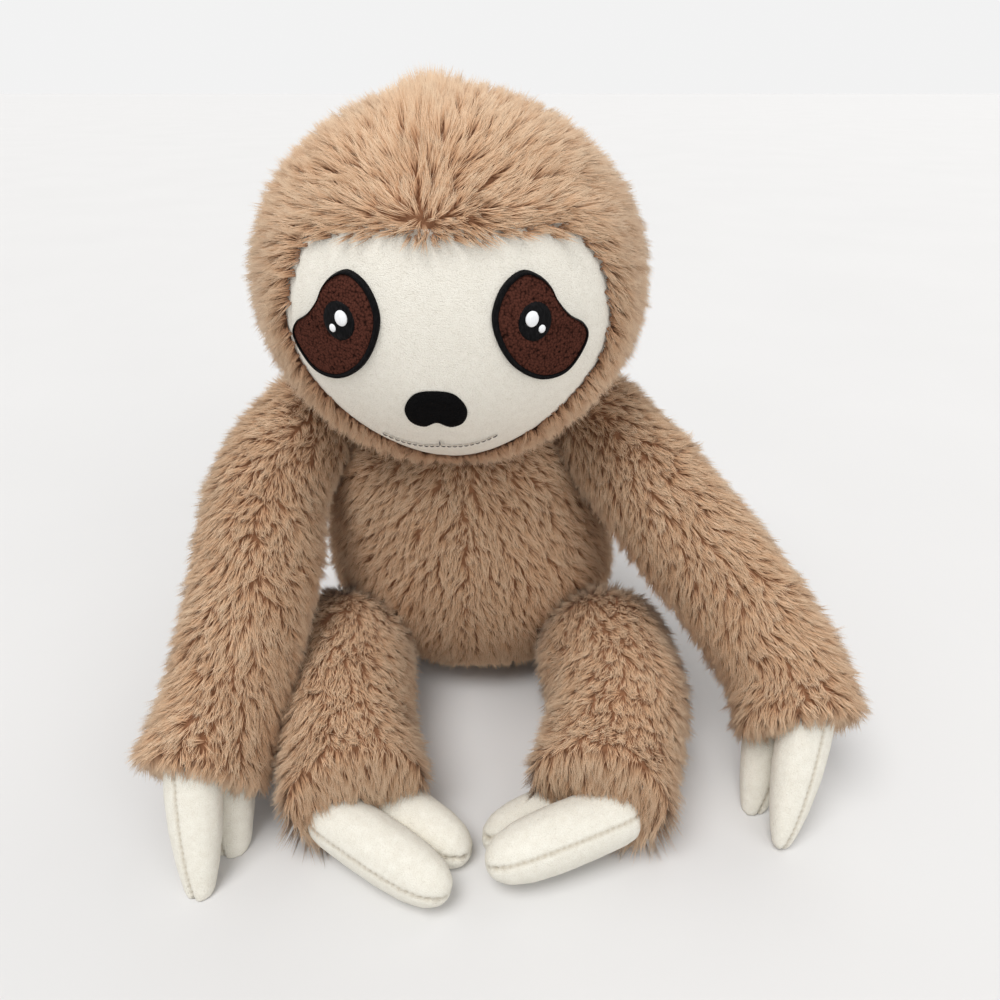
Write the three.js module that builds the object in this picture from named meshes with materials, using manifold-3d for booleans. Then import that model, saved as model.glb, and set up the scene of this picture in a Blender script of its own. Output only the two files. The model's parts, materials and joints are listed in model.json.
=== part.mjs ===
// A seated plush sloth, in millimetres: +Z up, the front toward -Y, the toy's own left toward +X.
// The origin is on the table, under the back panel of the torso.

import * as THREE from 'three';
import { mergeVertices } from 'three/addons/utils/BufferGeometryUtils.js';
import Module from 'manifold-3d';

const wasm = await Module();
wasm.setup();

// Fabric and clearances that every sub-part shares
const SEAM_GAP = 0.3;
const MOVING_CLEARANCE = 2.5;
const PILE_THICKNESS = 8;
const LIMB_PILE_THICKNESS = 6;
const FLAT_DEPTH = 0.5;
const CUT_REACH = 600;

// Torso
const TORSO_HALF_WIDTH = 91;
const TORSO_HALF_DEPTH = 74;
const TORSO_HEIGHT = 178;
const TORSO_LEAN = 12;
const SIDE_SEAM_AHEAD = 16;
const POUCH_HEIGHT = 34;

// Neck: the head rolls on a round pad of stuffing over the top of the torso
const NECK_RADIUS = 60;
const NECK_AHEAD = 10;
const NECK_BELOW_TOP = 3;
const NECK_PAD_THICKNESS = 8;
const NECK_PAD_DEPTH = 14;

// Head
const HEAD_HALF_WIDTH = 102;
const HEAD_HALF_DEPTH = 94;
const HEAD_HALF_HEIGHT = 92;
const HEAD_AHEAD = 17;
const HEAD_ASIDE = 1.5;
const HEAD_OVERLAP = 24;
const BACK_SEAM_BEHIND = 30;

// Face panel
const FACE_HALF_WIDTH = 75;
const FACE_HEIGHT = 124;
const FACE_TOP_ABOVE_MIDDLE = 42;
const FACE_SHIFT = 2.5;
const FACE_THICKNESS = 3;
const FACE_WRAP = 38;

// Eyes, as places on the face panel
const EYE_SPREAD = 42;
const EYE_SHIFT = -1.5;
const EYE_ABOVE_MIDDLE = 4;
const EYE_HEIGHT = 49;
const EYE_WIDTH = 41;
const FELT_THICKNESS = 1.2;
const STITCH_WIDTH = 3.2;
const STITCH_THICKNESS = 1.7;
const THREAD_THICKNESS = 0.9;
const PUPIL_HALF_WIDTH = 7.4;
const PUPIL_HALF_HEIGHT = 8.4;
const HIGHLIGHT_HALF_WIDTH = 3;
const HIGHLIGHT_HALF_HEIGHT = 3.3;
const HIGHLIGHT_INWARD = 2.2;
const HIGHLIGHT_RISE = 2;
const GLINT_HALF_WIDTH = 1.7;
const GLINT_HALF_HEIGHT = 1.9;
const GLINT_OUTWARD = 2.6;
const GLINT_DROP = 3.4;

// Nose and mouth, as places on the face panel
const MUZZLE_SHIFT = -3.5;
const NOSE_WIDTH = 28.4;
const NOSE_HEIGHT = 20.5;
const NOSE_BELOW_MIDDLE = 35;
const MOUTH_WIDTH = 56;
const MOUTH_SAG = 6.5;
const MOUTH_BELOW_NOSE = 25.5;
const MOUTH_STITCH_RISE = 4.5;
const MOUTH_THREAD_WIDTH = 1.2;

// Arms, from the shoulder to the cuff
const SHOULDER_SPREAD = 86;
const SHOULDER_AHEAD = 12;
const SHOULDER_BELOW_TOP = 19;
const SHOULDER_RADIUS = 30;
const WRIST_RADIUS = 30;
const ARM_REACH = 195;
const CUFF_RECESS = 9;

// Claws and toes
const CLAW_LENGTH = 72;
const CLAW_HALF_WIDTH = 14.5;
const CLAW_HALF_THICKNESS = 11;
const TOE_LENGTH = 66;
const TOE_HALF_WIDTH = 14;
const TOE_HALF_THICKNESS = 12.3;
const DIGIT_GAP = 0.6;

// Legs, from the hip to the heel
const HIP_SPREAD = 78;
const HIP_AHEAD = 72;
const HIP_RADIUS = 38;
const HEEL_RADIUS = 34;
const LEG_REACH = 98;
const ANKLE_RECESS = 6;
const ANKLE_RISE = 3;

// Pads of stuffing where the limbs are sewn on
const JOINT_PAD_THICKNESS = 4;
const JOINT_PAD_DEPTH = 7;

// Largest angles of the joints, in degrees, which the cuts leave room for
const NECK_TURN_DEGREES = 30;
const NECK_NOD_DEGREES = 10;
const ARM_RAISE_DEGREES = 40;
const ARM_SPREAD_DEGREES = 50;
const LEG_LIFT_DEGREES = 20;
const DIGIT_BEND_DEGREES = 15;

// How finely the round forms are faceted
const HEAD_SIDES = 20;
const HEAD_RINGS = 10;
const TORSO_SIDES = 20;
const TORSO_RINGS = 10;
const LIMB_SIDES = 12;
const LIMB_STATIONS = 5;
const DOME_STATIONS = 2;
const INNER_SIDES = 16;
const INNER_RINGS = 7;
const INNER_LIMB_SIDES = 10;
const INNER_LIMB_STATIONS = 3;
const DIGIT_SIDES = 12;
const BALL_SIDES = 32;
const LIMB_BALL_SIDES = 26;
const OUTLINE_POINTS = 30;
const OVAL_POINTS = 14;
const SWEEP_STEPS = 3;
const COARSE_SWEEP_STEPS = 2;
const CORNER_STEPS = 1;

// Profile of the torso from the seat to the neck: shares of its half width, half depth and height
const TORSO_PROFILE_SHARES = [
  [0, 0, 0],
  [0.42, 0.4, 0],
  [0.62, 0.56, 0.02],
  [0.81, 0.77, 0.09],
  [0.95, 0.93, 0.22],
  [1, 1, 0.4],
  [0.96, 0.96, 0.58],
  [0.86, 0.86, 0.76],
  [0.72, 0.72, 0.88],
  [0.45, 0.46, 0.965],
  [0, 0, 1],
];

// Half of the face panel's edge, from the middle of its top to the chin:
// shares of its half width, outward, and of its height, downward
const FACE_EDGE_SHARES = [
  [0, 0.01],
  [0.45, 0],
  [0.78, 0.035],
  [0.95, 0.19],
  [1, 0.36],
  [0.95, 0.5],
  [0.76, 0.67],
  [0.46, 0.84],
  [0, 0.99],
];

// Edge of the left eye patch: shares of its width, outward from the pupil, and of its height, upward
const EYE_EDGE_SHARES = [
  [-0.13, 0.45],
  [-0.31, 0.35],
  [-0.42, 0.11],
  [-0.37, -0.13],
  [-0.19, -0.39],
  [0.09, -0.55],
  [0.34, -0.53],
  [0.51, -0.35],
  [0.57, -0.18],
  [0.51, -0.07],
  [0.36, 0.03],
  [0.23, 0.17],
  [0.15, 0.3],
  [0.03, 0.4],
];

// Edge of the nose, a bean with a notch below: shares of its width and height
const NOSE_EDGE_SHARES = [
  [0, 0.52],
  [0.32, 0.42],
  [0.5, 0],
  [0.42, -0.38],
  [0.22, -0.5],
  [0, -0.36],
  [-0.22, -0.5],
  [-0.42, -0.38],
  [-0.5, 0],
  [-0.32, 0.42],
];

// Routes of the arms from shoulder to cuff: shares of the arm's reach, outward, forward and down
const ARM_ROUTE_SHARES = {
  left: [[0, 0, 0], [0.13, 0.14, 0.1], [0.35, 0.34, 0.32], [0.48, 0.52, 0.49], [0.5, 0.64, 0.57]],
  right: [[0, 0, 0], [0.09, 0.16, 0.1], [0.12, 0.41, 0.32], [0.15, 0.63, 0.51], [0.18, 0.78, 0.6]],
};

// Routes of the legs from hip to heel: shares of the leg's reach, outward, forward and down
const LEG_ROUTE_SHARES = {
  left: [[0, 0, 0], [0.02, 0.45, 0.02], [-0.14, 1, 0.05]],
  right: [[0, 0, 0], [-0.08, 0.5, 0.02], [-0.22, 1, 0.05]],
};

// Ways that the claws and the toes point, as shares of their length: outward, forward and down
const CLAW_WAY_SHARES = { left: [-0.25, 0.56, 0.79], right: [-0.1, 0.56, 0.82] };
const TOE_WAY_SHARES = { left: [-0.93, 0.33, 0.12], right: [-0.85, 0.5, 0.12] };

// Ways across a hand and a foot, from one digit to the other, in the same directions
const CLAW_ROW_SHARES = [0.35, 0.85, -0.3];
const TOE_ROW_SHARES = { left: [0.15, 0.78, -0.5], right: [0.25, 0.9, -0.2] };

// How long the front and the rear digit are, as shares of the longer one
const DIGIT_LENGTH_SHARES = [1, 0.94];

// Girth of a claw and of a toe along its length: shares of the length, then of the girth at the root
const CLAW_GIRTH_SHARES = [[0, 0.97], [0.22, 1], [0.45, 0.92], [0.68, 0.72], [0.86, 0.48], [0.96, 0.27]];
const TOE_GIRTH_SHARES = [[0, 0.96], [0.25, 1], [0.5, 1], [0.72, 0.92], [0.88, 0.72], [0.97, 0.4]];

// Where the room that bending digits need is widest: a share of their length
const DIGIT_ROOM_END_SHARE = 0.9;

// The two sides, and what the pieces of an arm and a leg are called
const SIDES = { left: 1, right: -1 };
const ARM_NAMES = {
  limb: 'arm',
  digits: 'hand',
  front: 'outer',
  back: 'inner',
  digit: ['front_claw', 'rear_claw'],
};
const LEG_NAMES = {
  limb: 'leg',
  digits: 'foot',
  front: 'upper',
  back: 'under',
  digit: ['front_toe', 'rear_toe'],
};

// Finishes
const BROWN_FUR = { color: 0xb98c66, roughness: 0.95, metalness: 0 };
const CREAM_PLUSH = { color: 0xf0ebde, roughness: 0.9, metalness: 0 };
const CLAW_PLUSH = { color: 0xeeead8, roughness: 0.85, metalness: 0 };
const BROWN_FELT = { color: 0x4f302a, roughness: 0.95, metalness: 0 };
const BLACK_THREAD = { color: 0x14110f, roughness: 0.6, metalness: 0 };
const GREY_THREAD = { color: 0x4a4644, roughness: 0.7, metalness: 0 };
const WHITE_THREAD = { color: 0xfafafa, roughness: 0.5, metalness: 0 };
const STUFFING = { color: 0xf4f4f0, roughness: 1, metalness: 0 };
const POUCH_CLOTH = { color: 0xd9d4c6, roughness: 0.9, metalness: 0 };

// Places worked out from the sizes
const TORSO_TOP = TORSO_HEIGHT - FLAT_DEPTH;
const NECK_CENTRE = new THREE.Vector3(0, -NECK_AHEAD, TORSO_TOP - NECK_BELOW_TOP - NECK_RADIUS);
const HEAD_MIDDLE_HEIGHT = TORSO_TOP - HEAD_OVERLAP + HEAD_HALF_HEIGHT;
const HEAD_CENTRE = new THREE.Vector3(HEAD_ASIDE, -HEAD_AHEAD, HEAD_MIDDLE_HEIGHT);
const X_AXIS = new THREE.Vector3(1, 0, 0);
const Y_AXIS = new THREE.Vector3(0, 1, 0);
const Z_AXIS = new THREE.Vector3(0, 0, 1);

// Turns a closed geometry into a solid that can be joined and cut.
function solidOf(geometry) {
  const bare = geometry.clone();
  bare.deleteAttribute('normal');
  bare.deleteAttribute('uv');
  const merged = mergeVertices(bare);
  const vertProperties = new Float32Array(merged.attributes.position.array);
  const triVerts = new Uint32Array(merged.index.array);
  return new wasm.Manifold(new wasm.Mesh({ numProp: 3, vertProperties, triVerts }));
}

// Turns a solid back into a geometry, moved so that the pivot is its origin.
function geometryOf(solid, pivot) {
  const { vertProperties, triVerts } = solid.getMesh();
  const geometry = new THREE.BufferGeometry();
  geometry.setAttribute('position', new THREE.BufferAttribute(new Float32Array(vertProperties), 3));
  geometry.setIndex(new THREE.BufferAttribute(new Uint32Array(triVerts), 1));
  geometry.translate(-pivot.x, -pivot.y, -pivot.z);
  geometry.computeVertexNormals();
  return geometry;
}

// A closed skin through rings of points, with one point at each end.
function loft(start, rings, end) {
  const sides = rings[0].length;
  const points = [start, ...rings.flat(), end];
  const lastRing = 1 + (rings.length - 1) * sides;
  const faces = [];
  for (let side = 0; side < sides; side += 1) {
    const next = (side + 1) % sides;
    faces.push(0, 1 + next, 1 + side);
    for (let low = 1; low < lastRing; low += sides) {
      faces.push(low + side, low + next, low + sides + next);
      faces.push(low + side, low + sides + next, low + sides + side);
    }
    faces.push(lastRing + side, lastRing + next, points.length - 1);
  }
  const geometry = new THREE.BufferGeometry().setFromPoints(points);
  geometry.setIndex(faces);
  return solidOf(geometry);
}

// A ring of points round a centre, from two half axes.
function ring(centre, along, across, sides) {
  return Array.from({ length: sides }, (_, side) => {
    const angle = (2 * Math.PI * side) / sides;
    return centre.clone()
      .addScaledVector(along, Math.cos(angle))
      .addScaledVector(across, Math.sin(angle));
  });
}

// The torso's form, smaller by the inset all round.
function torsoForm(inset, sides, rings) {
  const profile = new THREE.CatmullRomCurve3(
    TORSO_PROFILE_SHARES.map(([wide, deep, high]) => new THREE.Vector3(wide, deep, high)),
    false,
    'centripetal',
  ).getPoints(rings + 1);
  const height = TORSO_HEIGHT - 2 * inset;
  const place = (share) => new THREE.Vector3(
    TORSO_LEAN * (1 - share),
    0,
    inset - FLAT_DEPTH + height * share,
  );
  const hoops = profile.slice(1, -1).map(({ x, y, z }) => ring(
    place(z),
    X_AXIS.clone().multiplyScalar((TORSO_HALF_WIDTH - inset) * x),
    Y_AXIS.clone().multiplyScalar((TORSO_HALF_DEPTH - inset) * y),
    sides,
  ));
  return loft(place(0), hoops, place(1));
}

// An upright ellipsoid of rings.
function eggForm(centre, halfWidth, halfDepth, halfHeight, sides, rings) {
  const hoops = Array.from({ length: rings }, (_, step) => {
    const angle = (Math.PI * (step + 1)) / (rings + 1);
    return ring(
      centre.clone().addScaledVector(Z_AXIS, -halfHeight * Math.cos(angle)),
      X_AXIS.clone().multiplyScalar(halfWidth * Math.sin(angle)),
      Y_AXIS.clone().multiplyScalar(halfDepth * Math.sin(angle)),
      sides,
    );
  });
  const pole = Z_AXIS.clone().multiplyScalar(halfHeight);
  return loft(centre.clone().sub(pole), hoops, centre.clone().add(pole));
}

// The head's form, smaller by the inset all round.
function headForm(inset, sides = HEAD_SIDES, rings = HEAD_RINGS) {
  return eggForm(
    HEAD_CENTRE,
    HEAD_HALF_WIDTH - inset,
    HEAD_HALF_DEPTH - inset,
    HEAD_HALF_HEIGHT - inset,
    sides,
    rings,
  );
}

// A ball whose corners lie on the radius, or whose facets do if it has to clear it.
function ball(centre, radius, clears = false, sides = BALL_SIDES) {
  const turn = Math.cos(Math.PI / sides);
  const reach = clears ? radius / (turn * turn) : radius;
  return eggForm(centre, reach, reach, reach, sides, sides / 2 - 1);
}

// Two axes square to a limb's way at a station.
function crossAxes(way) {
  const along = new THREE.Vector3().crossVectors(way, Z_AXIS).normalize();
  const across = new THREE.Vector3().crossVectors(way, along).normalize();
  return { along, across };
}

// A limb's form along a route, with a round end about its first point and a softer one past its last.
function limbForm(route, startRadius, endRadius, endLength, inset, sides, stations) {
  const rings = [];
  const addRing = (centre, radius, way) => {
    const { along, across } = crossAxes(way);
    rings.push(ring(centre, along.multiplyScalar(radius), across.multiplyScalar(radius), sides));
  };
  const startWay = route.getTangent(0);
  const endWay = route.getTangent(1);
  const first = route.getPoint(0);
  const last = route.getPoint(1);
  const radiusAt = (share) => {
    const eased = THREE.MathUtils.smoothstep(share, 0, 1);
    return THREE.MathUtils.lerp(startRadius, endRadius, eased) - inset;
  };
  for (let step = 1; step <= DOME_STATIONS; step += 1) {
    const angle = (Math.PI * step) / (2 * DOME_STATIONS + 2);
    const back = (startRadius - inset) * Math.cos(angle);
    const centre = first.clone().addScaledVector(startWay, -back);
    addRing(centre, (startRadius - inset) * Math.sin(angle), startWay);
  }
  for (let step = 0; step <= stations; step += 1) {
    const share = step / stations;
    addRing(route.getPointAt(share), radiusAt(share), route.getTangentAt(share));
  }
  for (let step = DOME_STATIONS; step >= 1; step -= 1) {
    const angle = (Math.PI * step) / (2 * DOME_STATIONS + 2);
    const ahead = (endLength - inset) * Math.cos(angle);
    const centre = last.clone().addScaledVector(endWay, ahead);
    addRing(centre, (endRadius - inset) * Math.sin(angle), endWay);
  }
  const start = first.clone().addScaledVector(startWay, inset - startRadius);
  const end = last.clone().addScaledVector(endWay, endLength - inset);
  return loft(start, rings, end);
}

// A claw or toe along its way: a root that is round about the row, then girths up to the tip.
function digitForm(root, way, row, halfWidth, halfThickness, length, girths) {
  const breadth = new THREE.Vector3().crossVectors(way, row).normalize();
  const hoop = (ahead, girth) => ring(
    root.clone().addScaledVector(way, ahead),
    row.clone().multiplyScalar(halfThickness * girth),
    breadth.clone().multiplyScalar(halfWidth * girth),
    DIGIT_SIDES,
  );
  const domes = Array.from({ length: DOME_STATIONS }, (_, step) => {
    const angle = (Math.PI * (step + 1)) / (2 * DOME_STATIONS + 2);
    return hoop(-halfWidth * Math.cos(angle), Math.sin(angle));
  });
  const hoops = girths.map(([share, girth]) => hoop(length * share, girth));
  const start = root.clone().addScaledVector(way, -halfWidth);
  return loft(start, [...domes, ...hoops], root.clone().addScaledVector(way, length));
}

// A closed smooth outline through points, as a flat shape.
function smoothShape(points) {
  const corners = points.map(([x, z]) => new THREE.Vector3(x, z, 0));
  const curve = new THREE.CatmullRomCurve3(corners, true, 'centripetal');
  const places = curve.getPoints(OUTLINE_POINTS).slice(0, -1);
  return new THREE.Shape(places.map(({ x, y }) => new THREE.Vector2(x, y)));
}

// A flat shape drawn in X and Z, carried from far in front back to a plane of equal Y.
function punch(shape, backY) {
  const geometry = new THREE.ExtrudeGeometry(shape, { depth: CUT_REACH, bevelEnabled: false });
  geometry.rotateX(Math.PI / 2);
  geometry.translate(0, backY, 0);
  return solidOf(geometry);
}

// A piece that lies on the face between two heights above it, cut to a flat shape.
function onFace(shape, low, thickness) {
  const layer = headForm(-low - thickness).subtract(headForm(-low));
  return layer.intersect(punch(shape, HEAD_CENTRE.y - FACE_WRAP));
}

// The part of a solid on one side of a plane through a point, less half a seam.
function sideOf(solid, normal, point) {
  return solid.trimByPlane(normal.toArray(), normal.dot(point) + SEAM_GAP / 2);
}

// A solid turned about a pivot.
function turned(solid, pivot, rotation) {
  const matrix = new THREE.Matrix4().makeTranslation(pivot.x, pivot.y, pivot.z)
    .multiply(new THREE.Matrix4().makeRotationFromQuaternion(rotation))
    .multiply(new THREE.Matrix4().makeTranslation(-pivot.x, -pivot.y, -pivot.z));
  return solid.transform(matrix.elements);
}

// A rotation of so many degrees.
function rotation(axis, degrees) {
  return new THREE.Quaternion().setFromAxisAngle(axis, THREE.MathUtils.degToRad(degrees));
}

// Everything that a solid passes through as it takes the given turns about a pivot.
function swept(solid, pivot, turns) {
  return wasm.Manifold.union(turns.map((turn) => turned(solid, pivot, turn)));
}

// Turns from one limit of a joint to the other.
function turnsBetween(axis, lowDegrees, highDegrees, steps = SWEEP_STEPS) {
  return Array.from({ length: steps + 1 }, (_, step) => {
    return rotation(axis, THREE.MathUtils.lerp(lowDegrees, highDegrees, step / steps));
  });
}

// Every pair of two lists of turns: the first carries the second.
function turnPairs(carrying, carried) {
  return carrying.flatMap((outer) => carried.map((inner) => outer.clone().multiply(inner)));
}

// A point given outward, forward and down from a pivot, on the left or the right side.
function sidePoint(pivot, side, [outward, forward, down]) {
  return new THREE.Vector3(pivot.x + side * outward, pivot.y - forward, pivot.z - down);
}

// A way given outward, forward and down, of length one.
function sideWay(side, shares) {
  return sidePoint(new THREE.Vector3(), side, shares).normalize();
}

// The part of one way that is square to another.
function squareTo(way, other) {
  return other.clone().addScaledVector(way, -other.dot(way)).normalize();
}

// A limb's route from its pivot, from shares of its reach.
function limbRoute(pivot, side, routeShares, reach) {
  const places = routeShares.map((shares) => sidePoint(pivot, side, shares.map((share) => share * reach)));
  return new THREE.CatmullRomCurve3(places, false, 'centripetal');
}

// A round pad of stuffing under a ball: a slice of shell on the side of the ball away from the way.
function padUnder(centre, radius, thickness, depth, way) {
  const shell = ball(centre, radius + thickness, false, LIMB_BALL_SIDES)
    .subtract(ball(centre, radius, true, LIMB_BALL_SIDES));
  const inward = way.clone().negate();
  return shell.trimByPlane(inward.toArray(), inward.dot(centre) + radius + thickness - depth);
}

// Cuts a form flat on the table.
function cutFlat(solid) {
  return solid.trimByPlane([0, 0, 1], 0);
}

// The group and the pivot of each moving body
const bodies = {};

// Starts a body: a group at its pivot, inside its parent's group.
function startBody(name, pivot, parent) {
  const group = new THREE.Group();
  group.position.copy(pivot);
  if (parent) {
    group.position.sub(bodies[parent].pivot);
    bodies[parent].group.add(group);
  }
  bodies[name] = { group, pivot };
}

// Adds a named piece to a body.
function addPiece(bodyName, name, solid, finish) {
  const { group, pivot } = bodies[bodyName];
  const geometry = geometryOf(largest(solid), pivot);
  const mesh = new THREE.Mesh(geometry, new THREE.MeshStandardMaterial(finish));
  mesh.name = name;
  group.add(mesh);
}

// What the head fills as it nods and turns, larger all round by the growth.
function headRoom(growth = 0) {
  const turns = turnPairs(
    turnsBetween(Z_AXIS, -NECK_TURN_DEGREES, NECK_TURN_DEGREES, COARSE_SWEEP_STEPS),
    turnsBetween(X_AXIS, -NECK_NOD_DEGREES, NECK_NOD_DEGREES, CORNER_STEPS),
  );
  return swept(headForm(-MOVING_CLEARANCE - growth, INNER_SIDES, INNER_RINGS), NECK_CENTRE, turns);
}

const HEAD_ROOM = headRoom();

// The room that a limb's round end and its pad need in the torso.
function socket({ pivot, radius }, sides) {
  return ball(pivot, radius + JOINT_PAD_THICKNESS + 2 * SEAM_GAP, true, sides);
}

// What a limb itself fills as it moves, larger all round by the growth.
function limbSweep(limb, growth) {
  const { route, radius, endRadius, endLength } = limb;
  const form = limbForm(
    route,
    radius,
    endRadius,
    endLength,
    -MOVING_CLEARANCE - growth,
    INNER_LIMB_SIDES,
    INNER_LIMB_STATIONS,
  );
  return swept(form, limb.pivot, limb.turns);
}

// What a limb stays clear of as it moves, larger all round by the growth: the torso and all that
// the head fills, seen from the moving limb, and what the limbs below it fill.
function limbRoom(limb, limbsBelow, growth) {
  const around = torsoForm(-MOVING_CLEARANCE - growth, INNER_SIDES, INNER_RINGS)
    .subtract(socket(limb, INNER_SIDES))
    .add(headRoom(growth));
  const turned = swept(around, limb.pivot, limb.turns.map((turn) => turn.clone().invert()));
  return wasm.Manifold.union([turned, ...limbsBelow.map((below) => limbSweep(below, growth))]);
}

// The largest body of a cut, without the slivers that it leaves once its corners are rounded off.
function largest(solid) {
  const rounded = new wasm.Manifold(solid.getMesh());
  return rounded.decompose().reduce((best, part) => (part.volume() > best.volume() ? part : best));
}

function buildTorso(limbs) {
  startBody('torso', new THREE.Vector3());
  const neckBase = ball(NECK_CENTRE, NECK_RADIUS);
  const padRoom = ball(NECK_CENTRE, NECK_RADIUS + NECK_PAD_THICKNESS)
    .subtract(ball(NECK_CENTRE, NECK_RADIUS - NECK_PAD_THICKNESS - SEAM_GAP))
    .trimByPlane([0, 0, 1], NECK_CENTRE.z + NECK_RADIUS - NECK_PAD_DEPTH - SEAM_GAP);
  const sockets = limbs.map((limb) => socket(limb, LIMB_BALL_SIDES));
  const room = wasm.Manifold.union([HEAD_ROOM.subtract(neckBase), padRoom, ...sockets]);
  const inner = torsoForm(PILE_THICKNESS, INNER_SIDES, INNER_RINGS);
  const skin = cutFlat(torsoForm(0, TORSO_SIDES, TORSO_RINGS)).subtract(inner).subtract(room);
  const seamPoint = new THREE.Vector3(0, -SIDE_SEAM_AHEAD, 0);
  const front = sideOf(skin, Y_AXIS.clone().negate(), seamPoint);
  addHalves('torso', front, X_AXIS, seamPoint, ['torso_front_left', 'torso_front_right'], BROWN_FUR);
  addPiece('torso', 'torso_back', sideOf(skin, Y_AXIS, seamPoint), BROWN_FUR);
  const stuffed = torsoForm(PILE_THICKNESS + SEAM_GAP, INNER_SIDES, INNER_RINGS).subtract(room);
  const pouchTop = new THREE.Vector3(0, 0, PILE_THICKNESS + POUCH_HEIGHT);
  addPiece('torso', 'torso_filling', sideOf(stuffed, Z_AXIS, pouchTop), STUFFING);
  addPiece('torso', 'seat_bean_pouch', sideOf(stuffed, Z_AXIS.clone().negate(), pouchTop), POUCH_CLOTH);
}

// The space in front of the head that the face panel fills, larger all round by the growth.
function faceRegion(growth) {
  const middleX = HEAD_CENTRE.x + FACE_SHIFT;
  const topZ = HEAD_CENTRE.z + FACE_TOP_ABOVE_MIDDLE;
  const half = FACE_EDGE_SHARES.map(([outward, down]) => [
    outward * (FACE_HALF_WIDTH + growth),
    topZ + growth - down * (FACE_HEIGHT + 2 * growth),
  ]);
  const leftEdge = half.map(([x, z]) => [middleX + x, z]);
  const rightEdge = half.slice(1, -1).reverse().map(([x, z]) => [middleX - x, z]);
  return punch(smoothShape([...leftEdge, ...rightEdge]), HEAD_CENTRE.y - FACE_WRAP + growth);
}

function buildHead() {
  startBody('neck', NECK_CENTRE, 'torso');
  const pad = ball(NECK_CENTRE, NECK_RADIUS)
    .subtract(ball(NECK_CENTRE, NECK_RADIUS - NECK_PAD_THICKNESS, true))
    .trimByPlane([0, 0, 1], NECK_CENTRE.z + NECK_RADIUS - NECK_PAD_DEPTH);
  addPiece('neck', 'neck_stuffing', pad, STUFFING);
  startBody('head', NECK_CENTRE, 'neck');
  const neckRoom = ball(NECK_CENTRE, NECK_RADIUS + SEAM_GAP, true);
  const inner = headForm(PILE_THICKNESS, INNER_SIDES, INNER_RINGS);
  const fur = headForm(0).subtract(inner).subtract(neckRoom).subtract(faceRegion(SEAM_GAP));
  const seamPoint = new THREE.Vector3(0, HEAD_CENTRE.y + BACK_SEAM_BEHIND, 0);
  const crown = sideOf(fur, Y_AXIS.clone().negate(), seamPoint);
  addHalves('head', crown, X_AXIS, seamPoint, ['crown_left', 'crown_right'], BROWN_FUR);
  addPiece('head', 'head_back', sideOf(fur, Y_AXIS, seamPoint), BROWN_FUR);
  const face = headForm(0).subtract(headForm(FACE_THICKNESS)).subtract(neckRoom).intersect(faceRegion(0));
  addPiece('head', 'face_panel', face, CREAM_PLUSH);
  const facePad = headForm(FACE_THICKNESS + SEAM_GAP).intersect(faceRegion(-SEAM_GAP));
  const filling = headForm(PILE_THICKNESS + SEAM_GAP, INNER_SIDES, INNER_RINGS).add(facePad);
  addPiece('head', 'head_filling', filling.subtract(neckRoom), STUFFING);
  addEye('left', 1);
  addEye('right', -1);
  addNoseAndMouth();
}

// An oval on the face.
function ovalShape(x, z, halfWidth, halfHeight) {
  const shape = new THREE.Shape();
  shape.absellipse(x, z, halfWidth, halfHeight, 0, 2 * Math.PI);
  return new THREE.Shape(shape.getSpacedPoints(OVAL_POINTS).slice(0, -1));
}

function addEye(sideName, side) {
  const x = HEAD_CENTRE.x + EYE_SHIFT + side * EYE_SPREAD;
  const z = HEAD_CENTRE.z + EYE_ABOVE_MIDDLE;
  const edge = (inset) => smoothShape(EYE_EDGE_SHARES.map(([outward, up]) => [
    x + side * outward * (EYE_WIDTH - 2 * inset),
    z + up * (EYE_HEIGHT - 2 * inset),
  ]));
  const stitch = onFace(edge(0), SEAM_GAP, STITCH_THICKNESS)
    .subtract(punch(edge(STITCH_WIDTH), HEAD_CENTRE.y));
  addPiece('head', `${sideName}_eye_outline`, stitch, BLACK_THREAD);
  const patch = onFace(edge(STITCH_WIDTH + SEAM_GAP), SEAM_GAP, FELT_THICKNESS);
  addPiece('head', `${sideName}_eye_patch`, patch, BROWN_FELT);
  const pupilLow = FELT_THICKNESS + 2 * SEAM_GAP;
  const pupil = ovalShape(x, z, PUPIL_HALF_WIDTH, PUPIL_HALF_HEIGHT);
  addPiece('head', `${sideName}_pupil`, onFace(pupil, pupilLow, THREAD_THICKNESS), BLACK_THREAD);
  const shineLow = pupilLow + THREAD_THICKNESS + SEAM_GAP;
  const highlight = ovalShape(
    x - side * HIGHLIGHT_INWARD,
    z + HIGHLIGHT_RISE,
    HIGHLIGHT_HALF_WIDTH,
    HIGHLIGHT_HALF_HEIGHT,
  );
  const shine = (shape) => onFace(shape, shineLow, THREAD_THICKNESS);
  addPiece('head', `${sideName}_eye_highlight`, shine(highlight), WHITE_THREAD);
  const glint = ovalShape(
    x + side * GLINT_OUTWARD,
    z - GLINT_DROP,
    GLINT_HALF_WIDTH,
    GLINT_HALF_HEIGHT,
  );
  addPiece('head', `${sideName}_eye_glint`, shine(glint), WHITE_THREAD);
}

// The mouth: two sagging lines that meet in a small upright stitch.
function mouthShape(x, z) {
  const half = MOUTH_THREAD_WIDTH / 2;
  const point = (across, up) => new THREE.Vector2(x + across, z + up);
  const line = (side, lift) => new THREE.QuadraticBezierCurve(
    point((side * MOUTH_WIDTH) / 2, MOUTH_SAG + lift),
    point((side * MOUTH_WIDTH) / 4, lift - MOUTH_SAG / 2),
    point(side * half, lift),
  ).getPoints(OVAL_POINTS / 2);
  const below = [...line(-1, -half), ...line(1, -half).reverse()];
  const above = [
    ...line(-1, half),
    point(-half, MOUTH_STITCH_RISE),
    point(half, MOUTH_STITCH_RISE),
    ...line(1, half).reverse(),
  ];
  return new THREE.Shape([...below, ...above.reverse()]);
}

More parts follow.
